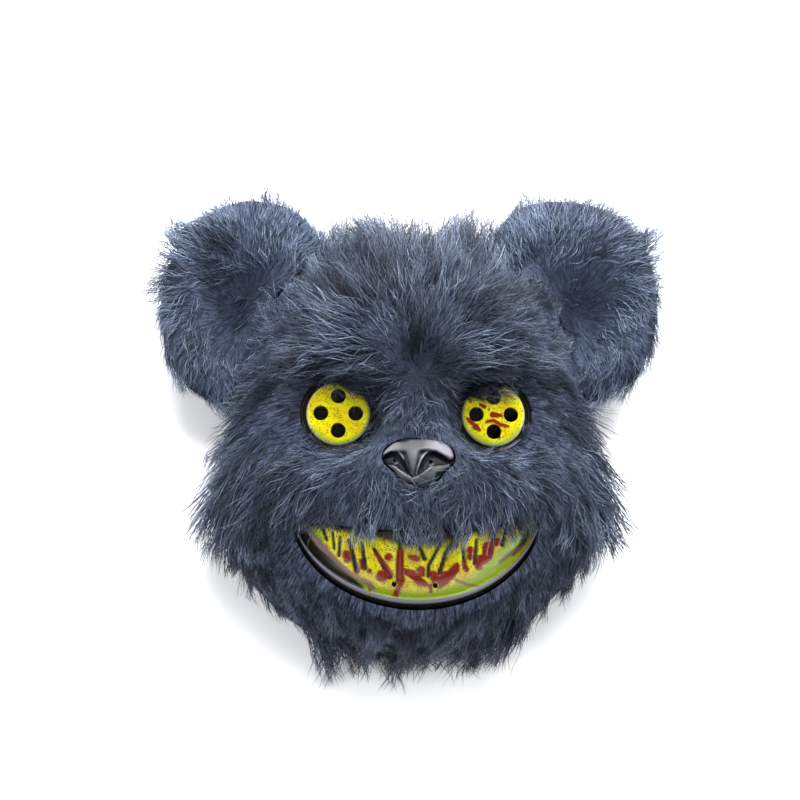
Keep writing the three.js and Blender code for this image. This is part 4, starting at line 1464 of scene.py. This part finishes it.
@dataclass
class Nose:
    """The moulded nose: a ridge with two lobes over the nostrils, and a plain lip below them."""

    shop: Workshop
    view: Viewpoint
    half_width: float = 16.9
    half_height: float = 11.5
    across: float = -0.8
    up: float = -17.0
    gap: float = 0.4
    edge: float = 1.2
    dome: float = 7.0
    form_rise: float = 3.0
    pad_rise: float = 1.0
    lip_rise: float = 1.6
    nostril_depth: float = 2.2
    arc_depth: float = 2.3
    turns: int = 176
    rows: int = 40
    back_rows: int = 8
    outline_shares: tuple[float, ...] = (0.9, 1.0, 1.06, 0.98, 0.84, 0.95, 0.98)
    # The moulded forms as they lie in the picture: across and down from the chart's corner,
    # enlarged by its scale, and the half width of the form there.
    corner: tuple[float, float] = (365.0, 425.0)
    scale: float = 7.0
    ridge: Strokes = (
        ((334, 160, 56), (334, 226, 40), (334, 285, 25), (334, 340, 13)),
        ((334, 150, 44), (262, 154, 36), (200, 152, 35), (146, 172, 38), (122, 214, 24)),
        ((334, 144, 46), (440, 138, 40), (520, 146, 45), (570, 180, 46), (598, 216, 26)),
    )
    pads: Strokes = (
        ((158, 268, 13), (208, 256, 28), (252, 294, 22), (294, 342, 11)),
        ((572, 268, 12), (505, 268, 22), (458, 260, 30), (412, 304, 22), (372, 346, 11)),
    )
    lip: Strokes = (
        (
            (128, 306, 20), (196, 306, 22), (296, 384, 26), (334, 404, 28), (388, 380, 26),
            (470, 316, 24), (585, 304, 20),
        ),
        ((200, 340, 30), (334, 440, 40), (470, 345, 30)),
    )
    arcs: Strokes = (
        ((112, 258, 10), (146, 220, 18), (184, 206, 23), (224, 214, 23), (262, 262, 19), (298, 334, 11)),
        (
            (374, 334, 11), (410, 258, 19), (440, 220, 23), (484, 205, 23), (530, 222, 21),
            (575, 256, 17), (604, 252, 12),
        ),
    )
    # Painted highlight lines: the crest along the nostrils' lower edges, and the glints on the lobes and
    # pads
    crest: Strokes = (
        (
            (120, 282, 5), (193, 284, 5), (300, 358, 6), (334, 374, 7), (377, 355, 6),
            (464, 292, 5), (590, 280, 5),
        ),
    )
    glints: Strokes = (
        ((228, 176, 6), (258, 214, 8), (286, 290, 7), (304, 338, 4)),
        ((442, 176, 6), (400, 226, 8), (376, 286, 7), (358, 338, 4)),
        ((226, 262, 4), (216, 272, 5), (204, 272, 4)),
        ((480, 272, 4), (468, 282, 5), (452, 282, 4)),
    )
    nostrils: Strokes = (((208, 250, 12),), ((458, 258, 13),))

    def outline(self, clearance: float, turns: int = 72) -> Array:
        """Gives the outline, clockwise from the top, grown by a clearance."""
        turn = np.arange(turns) * (2 * math.pi / turns)
        reach = round_table(self.outline_shares, True, np.degrees(turn))
        x = (self.half_width * reach + clearance) * np.sin(turn)
        y = (self.half_height * reach + clearance) * np.cos(turn)
        return np.stack([self.across + x, self.up + y], axis=-1)

    def rings(self, rows: int) -> tuple[Array, Array, Array]:
        """Lays rings from the middle to the outline.

        Args:
            rows: how many rings.

        Returns:
            The places, the seat's height under them and their share of the way out.
        """
        middle, edge = np.array([self.across, self.up]), self.outline(0.0, self.turns)
        shares = np.linspace(0, 1, rows + 1)[1:]
        rings = (middle + shares[:, None, None] * (edge - middle)[None]).reshape(-1, 2)
        flat = np.concatenate([middle[None], rings])
        seat = self.shop.form.height(flat[:, 0], flat[:, 1]) + self.gap
        return flat, seat, np.append(0.0, np.repeat(shares, self.turns))

    def raised(self, spot: Array, strokes: Strokes, round_over: float) -> Array:
        """Gives a moulded form's height as a share, rounded over at its edge."""
        blend = round_over / 5
        depths = [np.exp(np.minimum(-stroke_distance(spot, stroke) / blend, 60)) for stroke in strokes]
        depth = blend * np.log(np.sum(depths, axis=0) + 1e-9)
        return np.sqrt(1 - (1 - np.clip(depth / round_over, 0, 1)) ** 2)

    def build(self) -> None:
        """Makes the nose."""
        flat, seat, out = self.rings(self.rows)
        upper = ramp((flat[:, 1] - self.up) / self.half_height, -0.25, 0.55)
        steep = np.clip(1.0 - out**2, 0, 1) ** 0.62
        dome = self.dome * (steep + (1 - 0.72 * out**2 - steep) * upper)
        level = seat + self.edge + dome
        for _ in range(3):
            spot = self.view.chart(np.column_stack([flat, level]), self.corner, self.scale)
            forms = self.form_rise * self.raised(spot, self.ridge, 32.0)
            forms = np.maximum(forms, self.pad_rise * self.raised(spot, self.pads, 15.0))
            forms = np.maximum(forms, self.lip_rise * self.raised(spot, self.lip, 12.0))
            forms = forms - self.arc_depth * self.raised(spot, self.arcs, 18.0)
            forms = forms - self.nostril_depth * self.raised(spot, self.nostrils, 6.0)
            level = seat + self.edge + dome + forms * np.maximum(upper, np.minimum(1.0, 14 * (1 - out)))
        back, back_seat, _ = self.rings(self.back_rows)
        points = np.concatenate([np.column_stack([flat, level]), np.column_stack([back, back_seat])])
        faces = two_nets(self.turns, self.rows, self.back_rows)
        made = self.shop.mesh("nose_pad", points, faces)
        # The tone paints light and shade into the gloss black: painted highlight on the ridge and brightest
        # at the lobes' ends, on the lip, the crest and the glints; painted shade in the arcs, the nostrils
        # and along the lower rim.
        ends = ramp(np.abs(spot[:, 0] - 334), 60, 190)
        tone = 0.26 + (0.2 + 0.5 * ends) * self.raised(spot, self.ridge, 16.0)
        tone = np.maximum(tone, 0.52 * self.raised(spot, self.lip, 10.0))
        tone = np.maximum(tone, 0.9 * self.raised(spot, self.crest + self.glints, 5.0))
        tone = tone * (1 - self.raised(spot, self.arcs, 9.0)) * (1 - self.raised(spot, self.nostrils, 5.0))
        tone = tone * (1 - ramp(out, 0.93, 1.0) * (1 - upper))
        write_floats(made, tone=np.concatenate([tone, np.zeros(len(back))]))
        made.data.materials.append(GlossBlack().make())
        settle(made, "nose", "nose")


class Region(Enum):
    """The patches that the head's fur is grown in."""

    CROWN = "crown"
    LEFT_BROW = "left_brow"
    RIGHT_BROW = "right_brow"
    LEFT_CHEEK = "left_cheek"
    RIGHT_CHEEK = "right_cheek"
    MUZZLE = "muzzle"
    CHIN = "chin"


@dataclass
class FurCover:
    """The fur over the shell: its backing and the long pile that grows from it."""

    shop: Workshop
    strands: StrandTree
    mouth: Mouth
    nose: Nose
    finish: FurFinish
    gap: float = 0.6
    thickness: float = 5.5
    root_depth: float = 2.5
    clearance: float = 0.5
    hem: float = 1.0
    brow: BrowEdge = BrowEdge()
    turns: int = 180
    rows: int = 84
    first_seed: int = 20
    density: float = 345000.0
    wander: float = 0.42
    clump_turn: float = 0.5
    # How much quieter the fur above the eyes is, and the size of its locks and of those below
    calm: float = 0.8
    locks: tuple[float, float] = (0.0095, 0.0106)
    # The beard's tufts: the length they add, their middle and width across, and how far below
    # the middle of the face they start and are full
    beard: tuple[tuple[float, float, float, float, float], ...] = (
        (8.0, 8.0, 20.0, 82.0, 96.0),
        (10.0, -42.0, 13.0, 70.0, 88.0),
        (12.0, 56.0, 11.0, 60.0, 76.0),
        (4.0, 22.0, 10.0, 80.0, 92.0),
    )
    # The longest strand in metres, where the outline limits it
    longest: dict[Region, float] = field(
        default_factory=lambda: {Region.CROWN: 0.04, Region.CHIN: 0.0358}
    )

    def comb(self, x: Array, y: Array) -> Array:
        """Gives the way the fur is combed, seen from the front.

        It runs outwards from between the brows, down below the eyes, and round the eyes and nose.
        """
        way = unit(np.stack([x, y - 26.0], axis=-1))
        below = 1.0 - ramp(y, -66.0, 8.0)
        above = ramp(y, 44.0, 84.0)
        brow = swell(np.abs(x), 42, 30) * swell(y, 36, 13)
        way = way + np.stack([0.5 * np.sign(x) * brow, 0.5 * above - 1.9 * below - 0.75 * brow], axis=-1)
        way = unit(way)
        half, up = self.shop.form.eye_spacing / 2, self.shop.form.eye_up
        for ex, ey, radius, squeeze, inward in (
            (-half, up, 20.5, 1.0, 0.55),
            (half, up, 20.5, 1.0, 0.55),
            (0.0, self.nose.up, 15.0, 1.4, 0.6),
        ):
            n = np.stack([(x - ex) / squeeze, y - ey], axis=-1)
            away = np.linalg.norm(n, axis=-1, keepdims=True)
            n = n / np.maximum(away, 1e-6)
            k = np.clip((radius / np.maximum(away, 1e-6)) ** 3, 0, 1)
            over = ramp(n[..., 1:2], -0.3, 0.5)
            way = way * (1 + k) - 2 * k * np.sum(way * n, axis=-1, keepdims=True) * n * (1 - over)
            way = unit(way - inward * (0.55 + 0.45 * over) * k**2 * n)
        corner = (swell(x, 60, 9) * swell(y, -32, 9))[..., None]
        way = unit(way + corner * np.array([-1.3, -0.3]))
        fringe = self.fringe(x, y)[..., None]
        over = np.where((x > 0)[..., None], np.array([0.99, -0.05]), np.array([0.84, -0.6]))
        return unit(way * (1 - fringe) + over * fringe)

    def reach(self, x: Array, y: Array) -> Array:
        """Gives the strands' length in millimetres."""
        half, up = self.shop.form.eye_spacing / 2, self.shop.form.eye_up
        length = 25.5 + 4.5 * ramp(y, 60, 105) + 5.5 * ramp(-y, 78, 100) * ramp(52 - np.abs(x), 0, 25)
        length += (7.0 + 6.0 * swell(x, 15, 20)) * ramp(y, 84, 106)
        length += 13.0 * ramp(np.abs(x), 62, 86) * swell(y, -3, 21)
        for more, across, width, start, full in self.beard:
            length += more * swell(x, across, width) * ramp(-y, start, full)
        bridge = np.exp(-((x / 17) ** 4) - ((y - 4) / 20) ** 4)
        length += (15.0 - length) * bridge
        eye = np.hypot(np.abs(x) - half, y - up)
        socket = swell(np.abs(x), 62, 9) * swell(y, 12, 13)
        length = length * (0.4 + 0.6 * ramp(eye, 20, 36)) * (1 - 0.45 * socket)
        nose = np.hypot((x - self.nose.across) / 1.5, y - self.nose.up)
        length = length * (0.55 + 0.45 * ramp(nose, 12, 26))
        length += (9.0 + 1.5 * (x > 0) - length) * self.fringe(x, y)
        edge = self.to_mouth(x, y)
        over = np.where(y > -56, 10.0 + 0.8 * edge, 12.0 + 1.2 * edge)
        corner = swell(x, 60, 9) * swell(y, -32, 9)
        length = np.minimum(length, over + 6.0 * corner)
        jowl = ramp(np.abs(x), 46, 62) * ramp(-y, 30, 62)
        length *= 1 - (0.52 + 0.16 * (x < 0)) * jowl
        length += 13.0 * swell(x, -76, 9) * ramp(-y, 52, 70)
        ear = np.hypot((np.abs(x) - 86) / 40, (y - 74) / 48)
        notch = ramp(y, 82, 94) * np.where(x > 0, 1.0, 0.4)
        length = length * (0.5 + 0.5 * np.maximum(ramp(ear, 0.95, 1.2), notch))
        return length + 5.0 * notch * (x > 30) * (ear < 1.25)

    def fringe(self, x: Array, y: Array) -> Array:
        """Gives how far places lie on the brow's inner end, whose fur hangs over the eye."""
        dx, dy = x - np.sign(x) * self.shop.form.eye_spacing / 2, y - self.shop.form.eye_up
        away = np.hypot(dx, dy)
        outer = ramp(dx * np.sign(x), -2, 10)
        return ramp(self.brow.over(dx, dy, x > 0), -1.5, 0.5) * (1 - ramp(away, 21, 30)) * (1 - outer)

    def dark(self, x: Array, y: Array) -> Array:
        """Gives the painted light and shade of the pile: shade in the sockets, the creases and under the
        lip, darker towards the chin and lighter above.
        """
        out = np.abs(x)
        # Painted shade: in the eye sockets under the brow, in the crease between the brows, in the creases
        # at the mouth's corners and under the lip.
        socket = swell(out, 62, 9) * swell(y, 21, 14)
        crease = swell(x, 0, 7) * swell(y, 36, 16)
        smile = swell(out, 65, 6) * swell(y, -30, 17)
        lip = (y < -60) * swell(self.to_mouth(x, y), 0, 7)
        # Painted light from above: darker towards the chin, lighter towards the brow and at the outer sides
        # from the mouth up.
        plain = 0.4 + 0.06 * ramp(-y, 45, 75) - 0.06 * ramp(y, 10, 34)
        plain = plain - 0.35 * ramp(out, 62, 84) * ramp(y, -30, 10)
        return np.clip(plain + socket + 0.75 * crease + 0.75 * smile + 0.2 * lip, 0, 1)

    def to_mouth(self, x: Array, y: Array) -> Array:
        """Gives the distance to the mouth's edge, roughly, in millimetres."""
        along = np.clip(x / self.mouth.half_width, -1, 1)
        _, upper, lower = self.mouth.edges(along)
        beside = np.maximum(np.abs(x) - self.mouth.half_width, 0)
        return np.hypot(beside, np.maximum(np.maximum(y - upper, lower - y), 0))

    def lift(self, x: Array, y: Array) -> Array:
        """Gives the angle at which the strands leave the backing, in degrees."""
        brow = swell(np.abs(x), 38, 30) * swell(y, 38, 11)
        below = (y < -60) * (1 - ramp(self.to_mouth(x, y), 0, 9))
        nose = np.hypot((x - self.nose.across) / 1.5, y - self.nose.up)
        above_nose = swell(nose, 13, 4) * ramp(y - self.nose.up, 0, 8)
        parting = swell(x, 0, 9) * swell(y, 28, 11)
        lift = 22.0 + 16.0 * brow + 14.0 * below + 13.0 * above_nose + 24.0 * parting
        return lift * (1 - 0.3 * self.fringe(x, y))

    def covered(self, x: Array, y: Array) -> Array:
        """Says where the backing is open, for an eye, the nose or the mouth."""
        form = self.shop.form
        dx, dy = x - np.sign(x) * form.eye_spacing / 2, y - form.eye_up
        eye = (np.hypot(dx, dy) < form.eye_rim + self.clearance) & (self.brow.over(dx, dy, x > 0) < 0)
        across, up = x - self.nose.across, y - self.nose.up
        nose = np.hypot(across / (self.nose.half_width + 0.5), up / (self.nose.half_height + 0.5)) < 1
        along = np.clip(x / self.mouth.half_width, -1, 1)
        _, upper, lower = self.mouth.edges(along)
        mouth = (np.abs(x) < self.mouth.half_width) & (y < upper + 0.5) & (y > lower - 0.5)
        return eye | nose | mouth

    def region(self, x: Array, y: Array) -> Array:
        """Gives the number of the patch that places belong to."""
        names = list(Region)
        chosen = np.full(x.shape, names.index(Region.CHIN))
        for region, inside in (
            (Region.RIGHT_CHEEK, y > -62),
            (Region.LEFT_CHEEK, (y > -62) & (x < 0)),
            (Region.MUZZLE, (y > -62) & (y < 4) & (np.abs(x) < 50)),
            (Region.RIGHT_BROW, y > 4),
            (Region.LEFT_BROW, (y > 4) & (x < 0)),
            (Region.CROWN, y > 56),
        ):
            chosen[inside] = names.index(region)
        return chosen

    def build(self) -> None:
        """Makes the backing and each patch of pile."""
        back = self.shop.wall("fur_backing", 120, 44, self.gap + self.thickness - 1.0, self.gap)
        cutters = self.shop.eye_discs(self.shop.form.eye_rim + self.clearance, 0.0, 140.0)
        cutters.append(self.shop.prism(self.nose.outline(self.clearance), 0, 140))
        cutters.append(self.shop.prism(self.mouth.outline(self.clearance), 0, 140))
        ground = np.array([(-200, -200), (-200, 200), (200, 200), (200, -200)])
        cutters.append(self.shop.prism(ground, -10, self.hem))
        self.shop.cut(back, cutters)
        write_grain(back, self.shop.place(np.array([0.0, 26.0, 0.0])))
        back.data.materials.append(self.finish.backing("fur_backing", 1.0))
        settle(back, "fur", "fur_cover")
        self.grow()

    def grow(self) -> None:
        """Grows the pile from a skin inside the backing, patch by patch."""
        form = self.shop.form
        offset = self.gap + self.thickness - self.root_depth
        points, normals = form.skin(self.turns, self.rows, offset, 0.997)
        base = points - offset * normals
        on_eye = np.hypot(np.abs(base[:, 0]) - form.eye_spacing / 2, base[:, 1] - form.eye_up)
        points[:, 2] += 1.8 * (1 - ramp(on_eye, 16.5, 19.5))
        comb = self.comb(base[:, 0], base[:, 1])
        along = np.column_stack([comb, np.zeros(len(comb))])
        along = along - normals * np.sum(along * normals, axis=1, keepdims=True)
        weak = 1.0 - ramp(np.linalg.norm(along, axis=1), 0.2, 0.5)
        along = unit(along + weak[:, None] * np.array([0, 0, -0.5]))
        faces = np.array([f if len(f) == 4 else (*f, f[-1]) for f in net_faces(self.turns, self.rows)])
        centre = base[faces].mean(axis=1)
        part = self.region(centre[:, 0], centre[:, 1])
        part[self.covered(centre[:, 0], centre[:, 1]) | (centre[:, 2] < 2.5)] = -1
        for k, region in enumerate(Region):
            used, index = np.unique(faces[part == k], return_inverse=True)
            rows = [tuple(dict.fromkeys(f)) for f in index.reshape(-1, 4).tolist()]
            skin = self.shop.mesh("skin", points[used], rows)
            write_vectors(skin, "comb", along[used])
            self.style(skin, *base[used, :2].T)
            upper = region in (Region.CROWN, Region.LEFT_BROW, Region.RIGHT_BROW)
            calm = self.calm if upper else 1.0
            made = self.strands.grow(
                skin,
                f"fur_{region.value}",
                self.first_seed + k,
                Strands_per_square_metre=self.density,
                Clump_size=self.locks[0 if upper or region is Region.MUZZLE else 1],
                Wander=self.wander * calm,
                Clump_turn=self.clump_turn * calm,
                Longest=self.longest.get(region, 0.06),
            )
            settle(made, "fur", "fur_cover")

    def style(self, skin: Piece, x: Array, y: Array) -> None:
        """Stores how long, steep, thick and clumped the pile is at each point of a patch, and its painted
        shade.
        """
        reach = self.reach(x, y)
        fringe = self.fringe(x, y)
        lip = (y < -60) * (1 - ramp(self.to_mouth(x, y), 2, 9))
        fuller = 1 + 0.4 * fringe + 0.6 * lip + 0.45 * ramp(-y, 82, 96)
        write_floats(
            skin,
            reach=reach * MM,
            lift=np.radians(self.lift(x, y)),
            thick=np.clip(25.0 / reach, 0.8, 2.6) * fuller,
            clump=(0.44 + 0.5 * ramp(-y, -20, 60)) * (1 - 0.8 * fringe),
            dark=self.dark(x, y),
        )


@dataclass
class Ear:
    """A cupped ear of fur with a thick rolled edge."""

    shop: Workshop
    strands: StrandTree
    finish: FurFinish
    side: Side
    half_width: float = 42.0
    half_height: float = 49.0
    across: float = 85.5
    up: float = 75.0
    hollow: float = 18.0
    crest: float = 22.0
    pad: float = 9.0
    inset: float = 1.0
    head_gap: float = 6.5
    # The hollow's middle from the ear's, outwards and up
    valleys: dict[Side, tuple[float, float]] = field(
        default_factory=lambda: {Side.LEFT: (10.0, -9.0), Side.RIGHT: (5.0, -11.0)}
    )
    # The painted shade in the hollow: its middle from the ear's, outwards and up, and its half width and
    # height
    shades: dict[Side, tuple[float, float, float, float]] = field(
        default_factory=lambda: {Side.LEFT: (10.0, -3.0, 12.0, 30.0), Side.RIGHT: (0.0, -12.0, 10.0, 24.0)}
    )
    # The roll's height round the ear as a share, each 45 degrees from the top outwards
    roll: tuple[float, ...] = (1.12, 1.1, 1.04, 0.9, 0.35, 0.6, 1.05, 1.12)
    outlines: dict[Side, tuple[float, ...]] = field(
        default_factory=lambda: {
            Side.LEFT: (1.15, 1.1, 1.1, 1.19, 1.15, 1.0, 1.0, 1.17),
            Side.RIGHT: (1.2, 1.19, 1.1, 1.1, 1.06, 1.0, 1.02, 1.3),
        }
    )
    # Out from the middle, and the height over the hollow as a share of the crest's rise
    front: tuple[tuple[float, float], ...] = (
        (0, 0.0), (0.14, 0.1), (0.3, 0.42), (0.48, 0.8), (0.68, 1.0), (0.9, 0.88), (1.0, 0.55)
    )
    # Out from the middle, and the depth under the hollow as a share of the pad's thickness
    back: tuple[tuple[float, float], ...] = (
        (1.0, -1.2), (0.94, -0.85), (0.8, -0.1), (0.6, 0.75), (0.34, 1.0), (0, 1.0)
    )
    turns: int = 96
    # The left ear's seed is one lower than this, the right ear's one higher
    middle_seed: int = 40
    density: float = 440000.0
    wander: float = 0.25
    clump_turn: float = 0.24
    sway: float = 0.004

    def section(self) -> list[tuple[float, float]]:
        """Gives the section from the middle of the hollow round the roll to the middle of the back."""
        over = [(s, self.hollow + self.crest * h) for s, h in self.front]
        under = [(s, self.hollow - self.pad * h) for s, h in self.back]
        path = np.array(over + under[1:])
        path[:, 0] *= 1.0 - self.inset / self.half_width
        fine: list[tuple[float, float]] = []
        padded = np.vstack([path[0] * [-1, 1], path, path[-1]])
        for k in range(1, len(padded) - 2):
            for t in (0.0, 0.25, 0.5, 0.75):
                out, high = curve_between(*padded[k - 1 : k + 3], t)
                fine.append((max(float(out), 0.0), float(high)))
        return fine + [(0.0, float(path[-1][1]))]

    def rings(self, section: list[tuple[float, float]]) -> Array:
        """Sweeps the section round the ear, from the middle of the hollow to that of the back."""
        turn = np.arange(self.turns) * (2 * math.pi / self.turns)
        reach = round_table(self.outlines[self.side], False, np.degrees(turn))
        dx = self.side.value * self.half_width * reach * np.sin(turn)
        dy = self.half_height * reach * np.cos(turn)
        roll = round_table(self.roll, False, np.degrees(turn))
        valley = self.valley()
        rings = []
        for s, z in section[1:-1]:
            x, y = self.middle() + (1 - s) * valley
            over = roll if z > self.hollow else np.ones(self.turns)
            high = self.hollow + (z - self.hollow) * over
            rings.append(np.column_stack([x + s * dx, y + s * dy, high]))
        low = self.middle() + valley
        return np.concatenate([[[*low, section[0][1]]], *rings, [[*low, section[-1][1]]]])

    def middle(self) -> Array:
        """Gives the ear's middle, across and up."""
        return np.array([self.side.value * self.across, self.up])

    def valley(self) -> Array:
        """Gives the way from the ear's middle to the hollow's."""
        return np.array(self.valleys[self.side]) * [self.side.value, 1]

    def head(self) -> Piece:
        """Makes the cutter that trims the ear to the fur cover."""
        turns, rows = 120, 48
        lifted, _ = self.shop.form.skin(turns, rows, self.head_gap)
        floor = lifted * np.array([1, 1, 0]) - np.array([0, 0, 5.0])
        return self.shop.mesh("cutter", np.concatenate([lifted, floor]), two_nets(turns, rows, rows))

    def build(self) -> None:
        """Makes the pad and its pile."""
        name = f"ear_{self.side.name.lower()}"
        section = self.section()
        faces = closed_net(self.turns, len(section) - 2, self.side is Side.LEFT)
        pad = self.shop.mesh(f"{name}_pad", self.rings(section), faces)
        skin = self.patch(pad)
        self.shop.cut(pad, [self.head()])
        write_grain(pad, self.shop.place(np.array([*self.middle(), 0.0])))
        # The ear's backing is painted lighter than the head's, for the light that falls on the ears.
        pad.data.materials.append(self.finish.backing(f"{name}_backing", 1.5))
        settle(pad, "fur", name)
        made = self.strands.grow(
            skin,
            f"fur_{name}",
            self.middle_seed + self.side.value,
            Strands_per_square_metre=self.density,
            Wander=self.wander,
            Clump_turn=self.clump_turn,
            Sway=self.sway,
        )
        settle(made, "fur", name)

    def patch(self, pad: Piece) -> Piece:
        """Copies the pad's skin outside the head, with the way and length of its pile."""
        form = self.shop.form
        here = points_of(pad) / MM - self.shop.shift
        normals = points_of(pad, "normal")
        out = form.out_share(here[:, 0], here[:, 1])
        head = np.where(out < 1.0, form.height(here[:, 0], here[:, 1]), -50.0) + 5.0
        near = here[:, 2] < head
        faces = [tuple(p.vertices) for p in pad.data.polygons if not near[list(p.vertices)].all()]
        used = sorted({v for f in faces for v in f})
        index = {v: k for k, v in enumerate(used)}
        rows = [tuple(index[v] for v in f) for f in faces]
        skin = self.shop.mesh("skin", here[used] - 0.8 * normals[used], rows)
        flat = here[used, :2] - self.middle()
        away = flat - 0.5 * self.valley()
        share = np.hypot(away[:, 0] / self.half_width, away[:, 1] / self.half_height)
        round_way = np.column_stack([-away[:, 1], away[:, 0]]) * -self.side.value
        outwards, upwards = flat.T * np.array([[self.side.value], [1]])
        tuft = (swell(outwards, 38, 13) * swell(upwards, 29, 15))[:, None]
        outer = ramp(share, 0.25, 0.65)[:, None]
        fall = np.array([0.85 * self.side.value, -0.5])
        swirl = 0.85 * (1 - tuft) * (1 - 0.7 * ramp(upwards - outwards, 10, 45)[:, None])
        flow = outer * unit(away + swirl * round_way) + (1 - outer) * fall
        comb = unit(np.column_stack([flow, np.zeros(len(used))]) + np.array([0, 0, 1e-6]))
        n = normals[used]
        comb = comb - n * np.sum(comb * n, axis=1, keepdims=True)
        weak = np.linalg.norm(comb, axis=1, keepdims=True) < 0.3
        comb = unit(comb + weak * np.array([[0, 0, -0.4]]))
        write_vectors(skin, "comb", comb)
        tuft = tuft[:, 0]
        write_floats(
            skin,
            reach=(14.0 + 2.0 * ramp(share, 0.35, 0.8) + 11.0 * tuft) * MM,
            lift=np.radians(12.0 + 12.0 * tuft),
            thick=np.where(n[:, 2] < -0.3, 0.25, 1.22),
            clump=0.16 + 0.7 * tuft,
        )
        across, up, wide, high = self.shades[self.side]
        low = (n[:, 2] > 0) * swell(outwards, across, wide) * swell(upwards, up, high)
        # Painted shade in the hollow; elsewhere the value below 0 paints the pile lighter, for the light on
        # the ear.
        write_floats(skin, dark=1.95 * low - 1.0)
        return skin


@dataclass
class HeadStrap:
    """The elastic inside: from one temple down to the ground and across it in a slack bow."""

    shop: Workshop
    width: float = 15.0
    thickness: float = 1.2
    anchor_up: float = 14.0
    anchor_height: float = 30.0
    run: float = 34.0
    bulge: float = 60.0
    wall: float = 2.0

    def path(self) -> Array:
        """Gives the points along the middle of the strap."""
        form = self.shop.form
        end = form.half_width * float(form.reach(np.array([90.0]))[0])
        foot = end - self.run
        t = np.linspace(-1, 1, 61)
        bow = self.anchor_up - self.bulge * (1 - t * t)
        flat = np.column_stack([foot * t, bow, np.full(len(t), self.thickness / 2)])
        rise = np.linspace(0.1, 1.0, 10)[:, None]
        right = flat[-1] + rise * (np.array([end, self.anchor_up, self.anchor_height]) - flat[-1])
        left = right[::-1] * np.array([-1, 1, 1])
        return np.concatenate([left, flat, right])

    def build(self) -> None:
        """Makes the strap, with its weave charted along it."""
        path = self.path()
        along = unit(np.gradient(path, axis=0))
        wide = np.array([0.0, 1.0, 0.0]) - along * along[:, 1:2]
        wide = unit(wide * np.array([1, 1, 0]) + np.array([0, 1e-6, 0]))
        thick = unit(np.cross(along, wide))
        wide, thick = 0.5 * self.width * wide, 0.5 * self.thickness * thick
        corners = [path + a * wide + b * thick for a, b in ((1, 1), (-1, 1), (-1, -1), (1, -1))]
        points = np.stack(corners, axis=1).reshape(-1, 3)
        points[:, 2] = np.maximum(points[:, 2], 0.0)
        faces: Faces = [(3, 2, 1, 0)]
        for i in range(len(path) - 1):
            for k in range(4):
                n = (k + 1) % 4
                faces.append((4 * i + k, 4 * i + n, 4 * i + 4 + n, 4 * i + 4 + k))
        last = 4 * (len(path) - 1)
        faces.append((last, last + 1, last + 2, last + 3))
        made = self.shop.mesh("strap", points, faces, smooth=False)
        layer = made.data.uv_layers.new(name="OFBake")
        total = len(path) - 1
        for loop in made.data.loops:
            station, corner = divmod(loop.vertex_index, 4)
            layer.data[loop.index].uv = (station / total, (0.02, 0.48, 0.52, 0.98)[corner])
        made.data.materials.append(WovenElastic().make())
        settle(made, "strap", "head_strap")


@dataclass(frozen=True)
class Lamp:
    """A soft square lamp that looks at the mask: its place and side in metres, its power in watts."""

    name: str
    place: tuple[float, float, float]
    side: float
    power: float

    def hang(self) -> None:
        """Puts the lamp in the scene."""
        data = bpy.data.lights.new(self.name, "AREA")
        data.shape, data.size, data.energy = "SQUARE", self.side, self.power
        made = bpy.data.objects.new(self.name, data)
        made.location = self.place
        made.rotation_euler = (-Vector(self.place)).to_track_quat("-Z", "Y").to_euler()
        bpy.context.scene.collection.objects.link(made)


@dataclass
class Studio:
    """The pale floor and the soft light round the mask."""

    floor_size: float = 4.0
    floor_colour: tuple[float, float, float, float] = (0.93, 0.94, 0.95, 1.0)
    sky_colour: tuple[float, float, float, float] = (0.95, 0.97, 1.0, 1.0)
    sky_strength: float = 0.4
    lamps: tuple[Lamp, ...] = (
        Lamp("window", (0.2, 1.45, 1.2), 1.5, 130.0),
        Lamp("front", (-0.1, -1.6, 1.1), 1.2, 7.0),
        Lamp("left_wall", (-1.6, 0.1, 1.2), 1.4, 26.0),
        Lamp("right_wall", (1.6, 0.1, 1.2), 1.4, 24.0),
    )

    def build(self) -> None:
        """Makes the floor, the sky and the lamps."""
        half = self.floor_size / 2
        corners = [(-half, -half, 0), (half, -half, 0), (half, half, 0), (-half, half, 0)]
        mesh = bpy.data.meshes.new("floor")
        mesh.from_pydata(corners, [], [(0, 1, 2, 3)])
        floor = bpy.data.objects.new("floor", mesh)
        bpy.context.scene.collection.objects.link(floor)
        r = Recipe("pale_floor")
        r.set(Base_Color=self.floor_colour, Roughness=0.7)
        floor.data.materials.append(r.material)
        world = bpy.data.worlds.new("studio")
        world.use_nodes = True
        sky = world.node_tree.nodes["Background"]
        sky.inputs["Color"].default_value = self.sky_colour
        sky.inputs["Strength"].default_value = self.sky_strength
        bpy.context.scene.world = world
        bpy.context.scene.view_settings.view_transform = "Standard"
        for lamp in self.lamps:
            lamp.hang()


def main() -> None:
    """Builds the mask piece by piece and reports each."""
    logging.basicConfig(level=logging.INFO, format="%(message)s")
    shop = Workshop(FaceForm())
    view = Viewpoint(shop)
    view.make()
    Studio().build()
    finish = FurFinish()
    strands = StrandTree()
    strands.build(finish.pile())
    mouth, nose = Mouth(shop, view), Nose(shop, view)
    Shell(shop).build()
    mouth.build()
    nose.build()
    for side in Side:
        Eye(shop, view, side).build()
    FurCover(shop, strands, mouth, nose, finish).build()
    for side in Side:
        Ear(shop, strands, finish, side).build()
    HeadStrap(shop).build()


if __name__ == "__main__":
    main()
